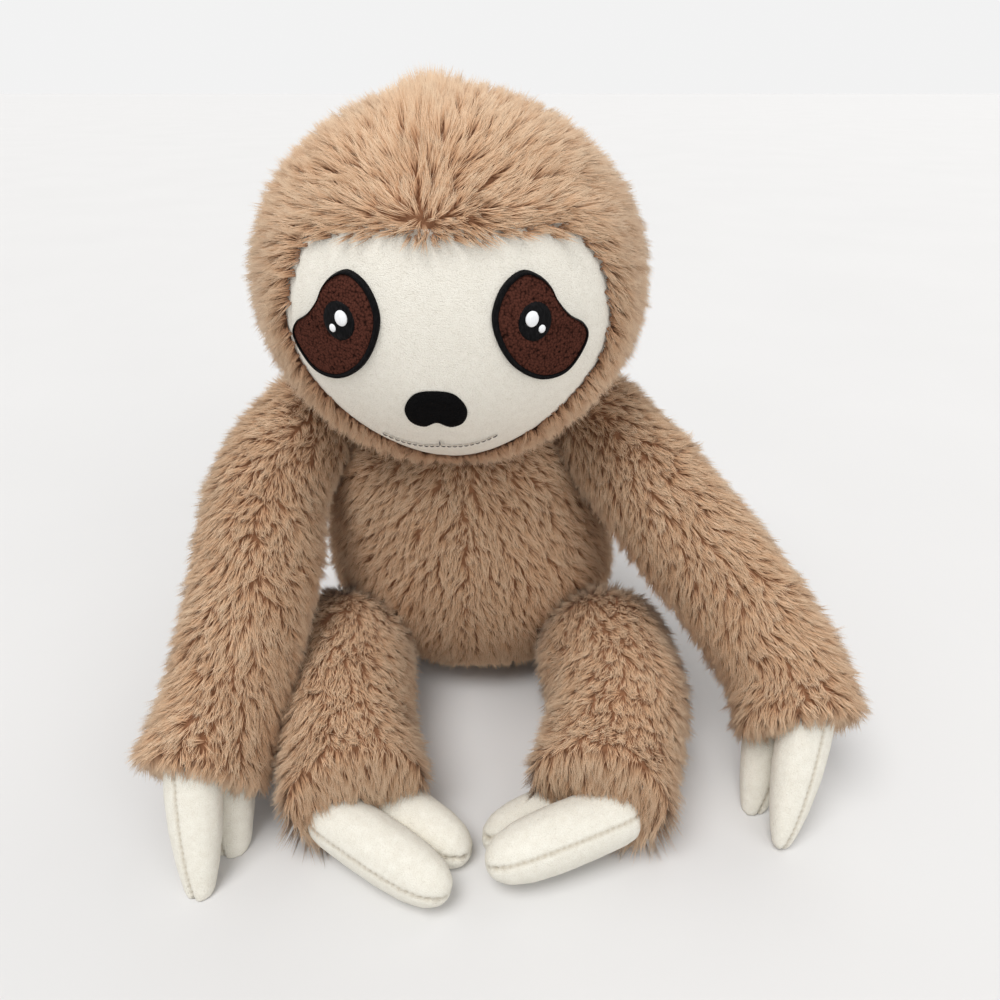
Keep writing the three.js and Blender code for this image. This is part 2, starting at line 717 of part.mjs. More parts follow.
function addNoseAndMouth() {
  const x = HEAD_CENTRE.x + MUZZLE_SHIFT;
  const z = HEAD_CENTRE.z - NOSE_BELOW_MIDDLE;
  const edge = NOSE_EDGE_SHARES.map(([wide, high]) => [x + wide * NOSE_WIDTH, z + high * NOSE_HEIGHT]);
  addPiece('head', 'nose', onFace(smoothShape(edge), SEAM_GAP, STITCH_THICKNESS), BLACK_THREAD);
  const mouth = onFace(mouthShape(x, z - MOUTH_BELOW_NOSE), SEAM_GAP, MOUTH_THREAD_WIDTH);
  addPiece('head', 'mouth_thread', mouth, GREY_THREAD);
}

// The sizes and the place of an arm or a leg.
function armLayout(sideName, side) {
  const pivot = new THREE.Vector3(side * SHOULDER_SPREAD, -SHOULDER_AHEAD, TORSO_TOP - SHOULDER_BELOW_TOP);
  const route = limbRoute(pivot, side, ARM_ROUTE_SHARES[sideName], ARM_REACH);
  const cuff = route.getPoint(1);
  const cuffWay = route.getTangent(1);
  const digitWay = sideWay(side, CLAW_WAY_SHARES[sideName]);
  return {
    sideName,
    side,
    pivot,
    route,
    radius: SHOULDER_RADIUS,
    endRadius: WRIST_RADIUS,
    endLength: WRIST_RADIUS,
    seatWay: new THREE.Vector3(side * SHOULDER_SPREAD, -SHOULDER_AHEAD, SHOULDER_RADIUS).normalize(),
    turns: turnPairs(
      turnsBetween(Y_AXIS, 0, -side * ARM_SPREAD_DEGREES),
      turnsBetween(X_AXIS, 0, -ARM_RAISE_DEGREES, COARSE_SWEEP_STEPS),
    ),
    cuff,
    cuffWay,
    root: cuff.clone().addScaledVector(cuffWay, -CUFF_RECESS),
    digitWay,
    rowWay: squareTo(digitWay, sideWay(side, CLAW_ROW_SHARES)),
    digitLength: CLAW_LENGTH,
    digitHalfWidth: CLAW_HALF_WIDTH,
    digitHalfThickness: CLAW_HALF_THICKNESS,
    girths: CLAW_GIRTH_SHARES,
  };
}

function legLayout(sideName, side) {
  const pivot = new THREE.Vector3(TORSO_LEAN + side * HIP_SPREAD, -HIP_AHEAD, HIP_RADIUS - FLAT_DEPTH);
  const route = limbRoute(pivot, side, LEG_ROUTE_SHARES[sideName], LEG_REACH);
  const cuff = route.getPoint(1);
  const digitWay = sideWay(side, TOE_WAY_SHARES[sideName]);
  const cuffWay = route.getTangent(1).add(digitWay).normalize();
  const root = cuff.clone().addScaledVector(cuffWay, -ANKLE_RECESS);
  root.z = TOE_HALF_WIDTH + ANKLE_RISE;
  return {
    sideName,
    side,
    pivot,
    route,
    radius: HIP_RADIUS,
    endRadius: HEEL_RADIUS,
    endLength: HEEL_RADIUS,
    seatWay: new THREE.Vector3(side * HIP_SPREAD, -HIP_AHEAD, 0).normalize(),
    turns: turnsBetween(X_AXIS, 0, -LEG_LIFT_DEGREES, COARSE_SWEEP_STEPS),
    cuff,
    cuffWay,
    root,
    digitWay,
    rowWay: squareTo(digitWay, sideWay(side, TOE_ROW_SHARES[sideName])),
    digitLength: TOE_LENGTH,
    digitHalfWidth: TOE_HALF_WIDTH,
    digitHalfThickness: TOE_HALF_THICKNESS,
    girths: TOE_GIRTH_SHARES,
  };
}

// Where the two digits of a hand or foot are rooted, side by side.
function digitRoots({ root, rowWay, digitHalfThickness }) {
  return [1, -1].map((end) => {
    return root.clone().addScaledVector(rowWay, end * (digitHalfThickness + DIGIT_GAP / 2));
  });
}

// The room that the digits need in the limb's end as they bend.
function digitRoom(limb) {
  const { digitWay, rowWay, digitHalfWidth, digitHalfThickness, digitLength } = limb;
  const clear = 1 / Math.cos(Math.PI / DIGIT_SIDES);
  const width = (digitHalfWidth + SEAM_GAP) * clear;
  const thickness = (digitHalfThickness + SEAM_GAP) * clear;
  const widening = 1 + (digitLength * Math.sin(THREE.MathUtils.degToRad(DIGIT_BEND_DEGREES))) / width;
  const girths = [[0, 1], [DIGIT_ROOM_END_SHARE, widening]];
  return wasm.Manifold.union(digitRoots(limb).map((place) => {
    return digitForm(place, digitWay, rowWay, width, thickness, digitLength, girths);
  }));
}

// The two claws of a hand or toes of a foot.
function digitPair(limb) {
  const { digitWay, rowWay, digitHalfWidth, digitHalfThickness, digitLength, girths } = limb;
  return digitRoots(limb).map((place, index) => {
    const length = digitLength * DIGIT_LENGTH_SHARES[index];
    return digitForm(place, digitWay, rowWay, digitHalfWidth, digitHalfThickness, length, girths);
  });
}

// The two halves of a solid, on each side of a seam through a point.
function addHalves(bodyName, solid, normal, point, names, finish) {
  addPiece(bodyName, names[0], sideOf(solid, normal, point), finish);
  addPiece(bodyName, names[1], sideOf(solid, normal.clone().negate(), point), finish);
}

// The pad of stuffing between the torso and a limb, clear of the head.
function addJointPad(bodyName, name, limb) {
  const way = limb.seatWay;
  const pad = padUnder(limb.pivot, limb.radius + SEAM_GAP, JOINT_PAD_THICKNESS, JOINT_PAD_DEPTH, way);
  addPiece(bodyName, name, pad.subtract(HEAD_ROOM), STUFFING);
}

// The cover, the filling and the two digits of an arm or a leg. The cover keeps its thickness where
// it draws in to clear the rest, and closes over the filling at the cuff.
function buildLimb(limb, names, parent, splitNormal, limbsBelow = []) {
  const { sideName, pivot, radius, route, endRadius, endLength, root } = limb;
  const form = (inset, sides, stations) => {
    return limbForm(route, radius, endRadius, endLength, inset, sides, stations);
  };
  const backward = limb.cuffWay.clone().negate();
  const within = (inset) => form(inset, INNER_LIMB_SIDES, INNER_LIMB_STATIONS)
    .subtract(limbRoom(limb, limbsBelow, inset))
    .trimByPlane(backward.toArray(), backward.dot(limb.cuff) + inset);
  const digitSpace = digitRoom(limb);
  const skin = cutFlat(form(0, LIMB_SIDES, LIMB_STATIONS))
    .subtract(limbRoom(limb, limbsBelow, 0))
    .subtract(digitSpace)
    .trimByPlane(backward.toArray(), backward.dot(limb.cuff))
    .subtract(largest(within(LIMB_PILE_THICKNESS)));
  const filling = within(LIMB_PILE_THICKNESS + SEAM_GAP)
    .subtract(digitSpace)
    .trimByPlane(backward.toArray(), backward.dot(root));
  const limbName = `${sideName}_${names.limb}`;
  const digitsName = `${sideName}_${names.digits}`;
  startBody(limbName, pivot, parent);
  const coverNames = [`${limbName}_${names.front}`, `${limbName}_${names.back}`];
  addHalves(limbName, skin, splitNormal, pivot, coverNames, BROWN_FUR);
  addPiece(limbName, `${limbName}_filling`, filling, STUFFING);
  startBody(digitsName, root, limbName);
  digitPair(limb).forEach((digit, index) => {
    addPiece(digitsName, `${sideName}_${names.digit[index]}`, cutFlat(digit), CLAW_PLUSH);
  });
}

// An arm turns in its shoulder pad, which itself turns on the torso.
function buildArm(arm, leg) {
  const shoulderName = `${arm.sideName}_shoulder`;
  startBody(shoulderName, arm.pivot, 'torso');
  addJointPad(shoulderName, `${shoulderName}_stuffing`, arm);
  const chord = arm.cuff.clone().sub(arm.pivot);
  const outward = new THREE.Vector3().crossVectors(Z_AXIS, chord).normalize().multiplyScalar(arm.side);
  buildLimb(arm, ARM_NAMES, shoulderName, outward, [leg]);
}

// A leg turns in its hip pad, which stays on the torso.
function buildLeg(leg) {
  addJointPad('torso', `${leg.sideName}_hip_stuffing`, leg);
  buildLimb(leg, LEG_NAMES, 'torso', Z_AXIS);
}

const arms = Object.entries(SIDES).map(([sideName, side]) => armLayout(sideName, side));
const legs = Object.entries(SIDES).map(([sideName, side]) => legLayout(sideName, side));
buildTorso([...arms, ...legs]);
buildHead();
arms.forEach((arm, index) => buildArm(arm, legs[index]));
legs.forEach((leg) => buildLeg(leg));

export default bodies.torso.group;
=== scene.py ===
"""A seated plush sloth: brown pile, a cream face, stitched eyes and velour claws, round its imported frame."""

import json
import logging
import math
import random
from dataclasses import dataclass, field
from enum import Enum
from typing import Any, Callable, Sequence

import bmesh
import bpy
import numpy as np
from mathutils import Matrix, Vector


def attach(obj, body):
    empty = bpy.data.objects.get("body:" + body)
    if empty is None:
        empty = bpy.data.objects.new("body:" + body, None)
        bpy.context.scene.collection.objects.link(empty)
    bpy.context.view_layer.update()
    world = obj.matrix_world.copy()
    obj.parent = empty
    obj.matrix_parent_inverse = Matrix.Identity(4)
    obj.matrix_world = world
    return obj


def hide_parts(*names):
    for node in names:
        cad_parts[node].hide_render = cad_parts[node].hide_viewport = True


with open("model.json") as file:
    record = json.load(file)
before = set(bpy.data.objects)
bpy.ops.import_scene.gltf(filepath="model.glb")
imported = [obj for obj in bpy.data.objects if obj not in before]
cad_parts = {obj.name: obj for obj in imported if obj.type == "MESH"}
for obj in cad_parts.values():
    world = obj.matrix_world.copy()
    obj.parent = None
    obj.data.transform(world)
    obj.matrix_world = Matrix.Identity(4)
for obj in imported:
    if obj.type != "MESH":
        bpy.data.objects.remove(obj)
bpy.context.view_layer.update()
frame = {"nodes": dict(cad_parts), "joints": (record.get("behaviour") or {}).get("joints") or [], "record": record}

log = logging.getLogger("plush_sloth")

MM = 0.001
Z_WAY = Vector((0.0, 0.0, 1.0))
Y_WAY = Vector((0.0, 1.0, 0.0))
X_WAY = Vector((1.0, 0.0, 0.0))
BAKE_MAP = "OFBake"
HIDDEN_DEPTH = 22 * MM
SIDES = {"left": 1.0, "right": -1.0}


class Slot(Enum):
    """The record's material slots."""

    FUR = "brown_fur"
    FACE = "face_plush"
    CLAW = "claw_plush"
    FELT = "eye_felt"
    BLACK = "black_thread"
    GREY = "grey_thread"
    WHITE = "white_thread"
    STUFFING = "stuffing"
    CLOTH = "pouch_cloth"


def joint(name: str) -> dict[str, Any]:
    """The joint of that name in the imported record."""
    return next(row for row in frame["joints"] if row["name"] == name)


def colour(red: int, green: int, blue: int) -> tuple[float, float, float, float]:
    """A linear colour from display values of 0 to 255.

    Args:
        red: Red as displayed.
        green: Green as displayed.
        blue: Blue as displayed.

    Returns:
        Linear red, green, blue and an alpha of one.
    """
    def linear(value: int) -> float:
        share = value / 255
        return share / 12.92 if share <= 0.04045 else ((share + 0.055) / 1.055) ** 2.4
    return linear(red), linear(green), linear(blue), 1.0


class Wiring:
    """Adds nodes to a tree and wires them as they are added."""

    def __init__(self, tree: bpy.types.NodeTree) -> None:
        """Starts on a tree.

        Args:
            tree: The node tree that the nodes go into.
        """
        self.tree = tree

    def add(self, kind: str, inputs: dict[Any, Any] | None = None, **settings: Any) -> bpy.types.Node:
        """Adds a node.

        Args:
            kind: The node's type.
            inputs: Sockets or plain values for its inputs, by name or number.
            **settings: Properties of the node, set before its inputs.

        Returns:
            The node.
        """
        node = self.tree.nodes.new(kind)
        for name, value in settings.items():
            setattr(node, name, value)
        return self.fill(node, inputs or {})

    def fill(self, node: bpy.types.Node, inputs: dict[Any, Any]) -> bpy.types.Node:
        """Gives a node's inputs sockets or plain values, by name or number, and returns the node."""
        for key, value in inputs.items():
            socket = self.socket(node, key)
            if isinstance(value, bpy.types.NodeSocket):
                self.tree.links.new(value, socket)
            else:
                socket.default_value = value
        return node

    def socket(self, node: bpy.types.Node, key: Any) -> bpy.types.NodeSocket:
        """An input of a node that is in use, by name or by its number among those in use."""
        used = [socket for socket in node.inputs if socket.enabled]
        return used[key] if isinstance(key, int) else next(s for s in used if s.name == key)

    def out(self, kind: str, inputs: dict[Any, Any] | None = None, **settings: Any) -> bpy.types.NodeSocket:
        """Adds a node and returns its first output in use."""
        node = self.add(kind, inputs, **settings)
        return next(socket for socket in node.outputs if socket.enabled)

    def math(self, operation: str, *values: Any) -> bpy.types.NodeSocket:
        """The result of a number operation on sockets or values."""
        return self.out("ShaderNodeMath", dict(enumerate(values)), operation=operation)

    def vector(self, operation: str, *values: Any) -> bpy.types.NodeSocket:
        """The result of a vector operation on sockets or values."""
        return self.out("ShaderNodeVectorMath", dict(enumerate(values)), operation=operation)

    def scaled(self, vector: Any, scale: Any) -> bpy.types.NodeSocket:
        """A vector times a number."""
        return self.out("ShaderNodeVectorMath", {0: vector, "Scale": scale}, operation="SCALE")

    def flattened(self, vector: Any, normal: Any) -> bpy.types.NodeSocket:
        """The part of a vector that lies along the skin."""
        height = self.add("ShaderNodeVectorMath", {0: vector, 1: normal}, operation="DOT_PRODUCT")
        return self.vector("SUBTRACT", vector, self.scaled(normal, height.outputs["Value"]))

    def mix(self, share: Any, low: Any, high: Any) -> bpy.types.NodeSocket:
        """A mix of two colours."""
        return self.out("ShaderNodeMix", {0: share, 1: low, 2: high}, data_type="RGBA")


def ramp(wiring: Wiring, value: bpy.types.NodeSocket, stops: Sequence[tuple[float, Any]]) -> Any:
    """A colour ramp.

    Args:
        wiring: The tree's wiring.
        value: What runs along the ramp.
        stops: Places from 0 to 1, each with its colour.

    Returns:
        The colour socket.
    """
    node = wiring.add("ShaderNodeValToRGB", {0: value})
    elements = node.color_ramp.elements
    while len(elements) < len(stops):
        elements.new(0.5)
    for element, (place, shade) in zip(elements, stops):
        element.position = place
        element.color = shade
    return node.outputs["Color"]


def declare(group: bpy.types.NodeTree, inputs: dict[str, str], outputs: dict[str, str]) -> None:
    """Gives a node group its sockets, each by its name and kind."""
    for way, sockets in (("INPUT", inputs), ("OUTPUT", outputs)):
        for name, kind in sockets.items():
            group.interface.new_socket(name, in_out=way, socket_type=f"NodeSocket{kind}")


def grain_group() -> bpy.types.NodeTree:
    """The short nap that the plush, velour and felt share: masks for its colour, the loops' one also for painted
    shade in the hollows between them, and its relief.
    """
    made = bpy.data.node_groups.get("short_nap")
    if made:
        return made
    group = bpy.data.node_groups.new("short_nap", "ShaderNodeTree")
    declare(group, {"Vector": "Vector", "Fibre Scale": "Float", "Loop Scale": "Float",
                    "Patch Scale": "Float", "Depth": "Float"},
            {"Patches": "Float", "Fibres": "Float", "Loops": "Float", "Normal": "Vector"})
    wiring = Wiring(group)
    entry = group.nodes.new("NodeGroupInput").outputs
    fibres = wiring.out("ShaderNodeTexNoise", {
        "Vector": entry["Vector"], "Scale": entry["Fibre Scale"], "Detail": 3.0, "Roughness": 0.65})
    patches = wiring.out("ShaderNodeTexNoise", {
        "Vector": entry["Vector"], "Scale": entry["Patch Scale"], "Detail": 4.0, "Roughness": 0.55})
    cells = wiring.out("ShaderNodeTexVoronoi", {
        "Vector": entry["Vector"], "Scale": entry["Loop Scale"], "Randomness": 0.9}, feature="F1")
    loops = wiring.math("SUBTRACT", 1.0, wiring.math("MULTIPLY", cells, cells))
    height = wiring.math("ADD", loops, wiring.math("MULTIPLY", fibres, 0.7))
    bump = wiring.out("ShaderNodeBump", {"Strength": 0.8, "Distance": entry["Depth"], "Height": height})
    wiring.add("NodeGroupOutput", {"Patches": patches, "Fibres": fibres, "Loops": loops, "Normal": bump})
    return group


def new_material(name: str) -> tuple[bpy.types.Material, Wiring, bpy.types.Node]:
    """A material with its shader and the wiring to dress it.

    Args:
        name: The material's name.

    Returns:
        The material, its wiring and its shader node.
    """
    material = bpy.data.materials.new(name)
    material.use_nodes = True
    return material, Wiring(material.node_tree), material.node_tree.nodes["Principled BSDF"]


@dataclass(frozen=True)
class PileFinish:
    """Long brown pile, coloured from tuft to tuft and along each strand by the pile's own map: darker at the foot
    and lighter at the tip, partly its own tone and partly painted shade deep in the pile and painted light on the
    tips.
    """

    shaded_root: tuple[int, int, int] = (150, 106, 76)
    middle: tuple[int, int, int] = (212, 166, 127)
    tip: tuple[int, int, int] = (242, 206, 169)
    pale_middle: tuple[int, int, int] = (230, 191, 155)
    pale_tip: tuple[int, int, int] = (251, 227, 196)
    roughness: float = 0.85
    sheen: float = 0.12
    sheen_roughness: float = 0.5
    gloss: float = 0.25

    def build(self) -> bpy.types.Material:
        """Makes the material."""
        material, wiring, shader = new_material("brown_pile")
        place = wiring.out("ShaderNodeUVMap", uv_map=BAKE_MAP)
        axes = wiring.add("ShaderNodeSeparateXYZ", {0: place})
        along = axes.outputs["Y"]
        # painted shade and light: each strand runs from a dark foot to a pale tip, partly the pile's own tone
        deep = ramp(wiring, along, [(0.05, colour(*self.shaded_root)), (0.45, colour(*self.middle)),
                                    (0.95, colour(*self.tip))])
        pale = ramp(wiring, along, [(0.05, colour(*self.shaded_root)), (0.4, colour(*self.pale_middle)),
                                    (0.9, colour(*self.pale_tip))])
        wiring.fill(shader, {
            "Base Color": wiring.mix(axes.outputs["X"], deep, pale), "Roughness": self.roughness,
            "Sheen Weight": self.sheen, "Sheen Roughness": self.sheen_roughness,
            "Specular IOR Level": self.gloss})
        return material


@dataclass(frozen=True)
class NapFinish:
    """A short-napped cloth: two colours that the nap mottles, the darker one partly its own tone and partly
    painted shade in the hollows between its loops, with painted shade along a marked seam where a third colour is
    given, and its relief.
    """

    name: str
    shade: tuple[int, int, int]
    hollow_shade: tuple[int, int, int]
    fibre_scale: float = 2600.0
    loop_scale: float = 1100.0
    patch_scale: float = 260.0
    depth: float = 0.0005
    roughness: float = 0.9
    sheen: float = 0.1
    sheen_roughness: float = 0.6
    gloss: float = 0.15
    loop_share: float = 0.45
    fibre_share: float = 0.3
    crease_shade: tuple[int, int, int] | None = None

    def build(self) -> bpy.types.Material:
        """Makes the material."""
        material, wiring, shader = new_material(self.name)
        nap = wiring.add("ShaderNodeGroup", {
            "Vector": wiring.add("ShaderNodeTexCoord").outputs["Object"], "Fibre Scale": self.fibre_scale,
            "Loop Scale": self.loop_scale, "Patch Scale": self.patch_scale, "Depth": self.depth,
        }, node_tree=grain_group())
        rest = 1 - self.loop_share - self.fibre_share
        mixed = wiring.math("ADD", wiring.math("MULTIPLY", nap.outputs["Patches"], rest),
                            wiring.math("MULTIPLY", nap.outputs["Fibres"], self.fibre_share))
        mixed = wiring.math("ADD", mixed, wiring.math("MULTIPLY", nap.outputs["Loops"], self.loop_share))
        # painted shade: the darker colour falls in the loops' hollows, mixed with the nap's own mottled tone
        shades = ramp(wiring, mixed, [(0.34, colour(*self.hollow_shade)), (0.74, colour(*self.shade))])
        # painted shade: a darker colour along the seam groove that the mesh's mask marks
        if self.crease_shade:
            fold_and_shade = wiring.add("ShaderNodeAttribute", attribute_name="fold_and_shade").outputs["Fac"]
            shades = wiring.mix(fold_and_shade, shades, colour(*self.crease_shade))
        wiring.fill(shader, {
            "Base Color": shades, "Normal": nap.outputs["Normal"], "Roughness": self.roughness,
            "Sheen Weight": self.sheen, "Sheen Roughness": self.sheen_roughness,
            "Specular IOR Level": self.gloss})
        return material


@dataclass(frozen=True)
class ThreadFinish:
    """Embroidery thread: fine lines of darker thread and lighter painted sheen, with a silky gloss."""

    name: str
    shade: tuple[int, int, int]
    gleam: tuple[int, int, int]
    roughness: float = 0.6
    line_scale: float = 1400.0
    gloss: float = 0.08

    def build(self) -> bpy.types.Material:
        """Makes the material."""
        material, wiring, shader = new_material(self.name)
        place = wiring.add("ShaderNodeTexCoord").outputs["Object"]
        stretched = wiring.vector("MULTIPLY", place, (1.0, 1.0, 0.25))
        lines = wiring.out("ShaderNodeTexNoise", {
            "Vector": stretched, "Scale": self.line_scale, "Detail": 2.0, "Roughness": 0.6})
        # painted sheen: the lighter colour lights the thread along its lines
        shades = ramp(wiring, lines, [(0.4, colour(*self.shade)), (0.72, colour(*self.gleam))])
        bump = wiring.out("ShaderNodeBump", {"Strength": 0.7, "Distance": 0.0003, "Height": lines})
        wiring.fill(shader, {"Base Color": shades, "Normal": bump, "Roughness": self.roughness,
                             "Specular IOR Level": self.gloss})
        return material


@dataclass(frozen=True)
class Wardrobe:
    """Every finish of the toy, built once."""

    materials: dict[Slot, bpy.types.Material] = field(default_factory=dict)
    extra: dict[str, bpy.types.Material] = field(default_factory=dict)

    def build(self) -> "Wardrobe":
        """Makes the finishes."""
        self.extra["nose"] = NapFinish("black_felt", (17, 16, 17), (3, 3, 3), loop_scale=1800.0, sheen=0.0,
                                        gloss=0.06).build()
        self.extra["backing"] = NapFinish("fur_backing", (150, 106, 74), (104, 68, 44)).build()
        self.materials.update({
            Slot.FUR: PileFinish().build(),
            Slot.FACE: NapFinish("cream_plush", (244, 240, 229), (226, 220, 207), loop_scale=1700.0,
                                 depth=0.0003, loop_share=0.35).build(),
            # the claw velour's third colour is painted shade in its seam groove
            Slot.CLAW: NapFinish("claw_velour", (239, 236, 225), (221, 215, 201), loop_scale=1800.0,
                                 depth=0.00025, loop_share=0.25, crease_shade=(196, 186, 168)).build(),
            Slot.FELT: NapFinish("brown_felt", (94, 55, 45), (30, 16, 13), fibre_scale=2400.0,
                                 loop_scale=900.0, depth=0.0009, sheen=0.0, gloss=0.02,
                                 fibre_share=0.4).build(),
            Slot.BLACK: ThreadFinish("black_thread", (4, 4, 5), (24, 23, 25)).build(),
            Slot.GREY: ThreadFinish("grey_thread", (84, 81, 79), (138, 134, 130)).build(),
            Slot.WHITE: ThreadFinish("white_thread", (238, 240, 242), (252, 252, 252)).build(),
            Slot.STUFFING: NapFinish("stuffing", (246, 246, 242), (222, 222, 216),
                                     fibre_scale=400.0, depth=0.002).build(),
            Slot.CLOTH: NapFinish("pouch_cloth", (222, 215, 199), (196, 188, 170)).build(),
        })
        return self

    def dress(self, piece: bpy.types.Object, slot: Slot, other: str | None = None) -> None:
        """Gives a piece its finish.

        Args:
            piece: The piece to dress.
            slot: The slot that it stands for.
            other: One of the extra finishes, where it takes one in place of the slot's own.
        """
        piece.data.materials.clear()
        piece.data.materials.append(self.extra[other] if other else self.materials[slot])


WARDROBE = Wardrobe()


def add_object(name: str, data: bpy.types.ID) -> bpy.types.Object:
    """A new object in the scene."""
    made = bpy.data.objects.new(name, data)
    bpy.context.scene.collection.objects.link(made)
    return made


def evaluated_mesh(source: bpy.types.Object) -> bpy.types.Mesh:
    """The mesh that an object's modifiers make."""
    bpy.context.view_layer.update()
    return bpy.data.meshes.new_from_object(source.evaluated_get(bpy.context.evaluated_depsgraph_get()))


def rows_of(items: Any, key: str) -> np.ndarray:
    """A vector property of every item, one row each."""
    values = np.empty(len(items) * 3)
    items.foreach_get(key, values)
    return values.reshape(-1, 3)


def place_piece(
    name: str,
    mesh: bpy.types.Mesh,
    slot: Slot,
    body: str,
    nodes: Sequence[str],
    other: str | None = None,
) -> bpy.types.Object:
    """Turns a finished mesh into a piece of the toy.

    Args:
        name: The piece's name.
        mesh: Its mesh, in place.
        slot: The finish that it takes.
        body: The body that it rides on.
        nodes: The solids that it stands for.
        other: One of the extra finishes, in place of the slot's own.

    Returns:
        The piece.
    """
    piece = add_object(name, mesh)
    WARDROBE.dress(piece, slot, other)
    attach(piece, body)
    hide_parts(*nodes)
    mesh.calc_loop_triangles()
    log.info("%s: %d triangles on %s", name, len(mesh.loop_triangles), body)
    return piece


def mesh_of(shape: bmesh.types.BMesh, name: str) -> bpy.types.Mesh:
    """Turns a shape into a smooth-shaded mesh and frees it.

    Args:
        shape: The shape.
        name: The mesh's name.

    Returns:
        The mesh.
    """
    mesh = bpy.data.meshes.new(name)
    shape.to_mesh(mesh)
    shape.free()
    mesh.shade_smooth()
    return mesh


def smooth_path(points: Sequence[Vector], steps: int, closed: bool = False) -> list[Vector]:
    """A smooth path through points, with shorter bends where they lie close together.

    Args:
        points: The points that it passes.
        steps: How many steps each span takes.
        closed: Whether it returns to its start.

    Returns:
        Points along the path. A closed one doesn't repeat its first.
    """
    count = len(points)

    def at(index: int) -> Vector:
        if closed:
            return points[index % count]
        if index < 0:
            return 2 * points[0] - points[1]
        if index >= count:
            return 2 * points[-1] - points[-2]
        return points[index]

    path = []
    for span in range(count if closed else count - 1):
        before, start, end, after = (at(span + step) for step in (-1, 0, 1, 2))
        gaps = [max((a - b).length ** 0.5, 1e-6) for a, b in ((before, start), (start, end), (end, after))]
        leave = ((start - before) / gaps[0] - (end - before) / (gaps[0] + gaps[1]) + (end - start) / gaps[1])
        arrive = ((end - start) / gaps[1] - (after - start) / (gaps[1] + gaps[2]) + (after - end) / gaps[2])
        leave, arrive = leave * gaps[1], arrive * gaps[1]
        for step in range(steps):
            share = step / steps
            cube, square = share ** 3, share ** 2
            path.append(start * (2 * cube - 3 * square + 1) + leave * (cube - 2 * square + share)
                        + end * (3 * square - 2 * cube) + arrive * (cube - square))
    if not closed:
        path.append(points[-1].copy())
    return path


def edge_loop(shape: bmesh.types.BMesh, places: Sequence[Vector]) -> tuple[list, list]:
    """Adds a closed loop through the places and returns its points and edges."""
    verts = [shape.verts.new(place) for place in places]
    return verts, [shape.edges.new(pair) for pair in zip(verts, verts[1:] + verts[:1])]


def extruded(shape: bmesh.types.BMesh, loop: list[bmesh.types.BMEdge]) -> tuple[list, list]:
    """Extrudes a loop of edges and returns the points and edges of the new loop."""
    made = bmesh.ops.extrude_edge_only(shape, edges=loop)["geom"]
    verts = [item for item in made if isinstance(item, bmesh.types.BMVert)]
    fresh = set(verts)
    return verts, [item for item in made if isinstance(item, bmesh.types.BMEdge)
                   and all(vert in fresh for vert in item.verts)]


def turned(profile: Sequence[Vector], sides: int, merge: float) -> bmesh.types.BMesh:
    """A skin turned from a profile about the upright axis.

    Args:
        profile: The profile's places.
        sides: The sides of each ring.
        merge: How close points are merged, which closes the poles.

    Returns:
        The skin, facing outward.
    """
    shape = bmesh.new()
    verts = [shape.verts.new(place) for place in profile]
    edges = [shape.edges.new(pair) for pair in zip(verts, verts[1:])]
    bmesh.ops.spin(shape, geom=verts + edges, cent=(0, 0, 0), axis=Z_WAY, dvec=(0, 0, 0),
                   angle=2 * math.pi, steps=sides, use_merge=True)
    bmesh.ops.remove_doubles(shape, verts=shape.verts, dist=merge)
    bmesh.ops.recalc_face_normals(shape, faces=shape.faces)
    return shape


def thicken_back(shape: bmesh.types.BMesh, thickness: float) -> None:
    """Closes a skin that faces the front by a copy of it farther back.

    Args:
        shape: The skin.
        thickness: How far back the copy lies.
    """
    made = bmesh.ops.extrude_face_region(shape, geom=shape.faces[:])["geom"]
    behind = [item for item in made if isinstance(item, bmesh.types.BMVert)]
    bmesh.ops.translate(shape, vec=Y_WAY * thickness, verts=behind)
    bmesh.ops.recalc_face_normals(shape, faces=shape.faces)


def solid_shell(shape: bmesh.types.BMesh, thickness: float) -> None:
    """Gives an open skin a thickness, inward.

    Args:
        shape: The skin.
        thickness: The thickness.
    """
    bmesh.ops.recalc_face_normals(shape, faces=shape.faces)
    bmesh.ops.solidify(shape, geom=shape.faces[:] + shape.edges[:] + shape.verts[:], thickness=thickness)


@dataclass(frozen=True)
class Seam:
    """A flat cut that a panel ends at: the panel lies on the side that the way points to."""

    point: Vector
    way: Vector

    def cut(self, shape: bmesh.types.BMesh) -> None:
        """Removes what lies beyond the seam."""
        geometry = shape.verts[:] + shape.edges[:] + shape.faces[:]
        bmesh.ops.bisect_plane(shape, geom=geometry, plane_co=self.point, plane_no=self.way, clear_inner=True)


def split(point: Vector, names: Sequence[str]) -> dict[str, list[Seam]]:
    """The seams of a left and a right front panel and of a back panel that meet at a point, by name."""
    front = Seam(point, -Y_WAY)
    seams = [front, Seam(point, X_WAY)], [front, Seam(point, -X_WAY)], [Seam(point, Y_WAY)]
    return dict(zip(names, seams))


@dataclass(frozen=True)
class Lay:
    """How the pile lies at some points: which way, how long, and where there is none."""

    ways: np.ndarray
    reach: np.ndarray
    cover: np.ndarray


def unit(vectors: np.ndarray) -> np.ndarray:
    """The vectors at length one."""
    return vectors / np.maximum(np.linalg.norm(vectors, axis=1, keepdims=True), 1e-9)


def along_skin(ways: np.ndarray, normals: np.ndarray) -> np.ndarray:
    """The part of each way that lies along the skin, at length one."""
    return unit(ways - normals * np.sum(ways * normals, axis=1, keepdims=True))


def rise(value: np.ndarray, low: float, high: float) -> np.ndarray:
    """A smooth rise from 0 at low to 1 at high."""
    share = np.clip((value - low) / (high - low), 0, 1)
    return share * share * (3 - 2 * share)


def leaning(ways: np.ndarray, normals: np.ndarray, lift_degrees: np.ndarray | float) -> np.ndarray:
    """Ways lifted off the skin.

    Args:
        ways: Ways along the skin.
        normals: The skin's normals.
        lift_degrees: How far each is lifted.

    Returns:
        The lifted ways.
    """
    lift = np.radians(lift_degrees) * np.ones(len(ways))
    return ways * np.cos(lift)[:, None] + normals * np.sin(lift)[:, None]


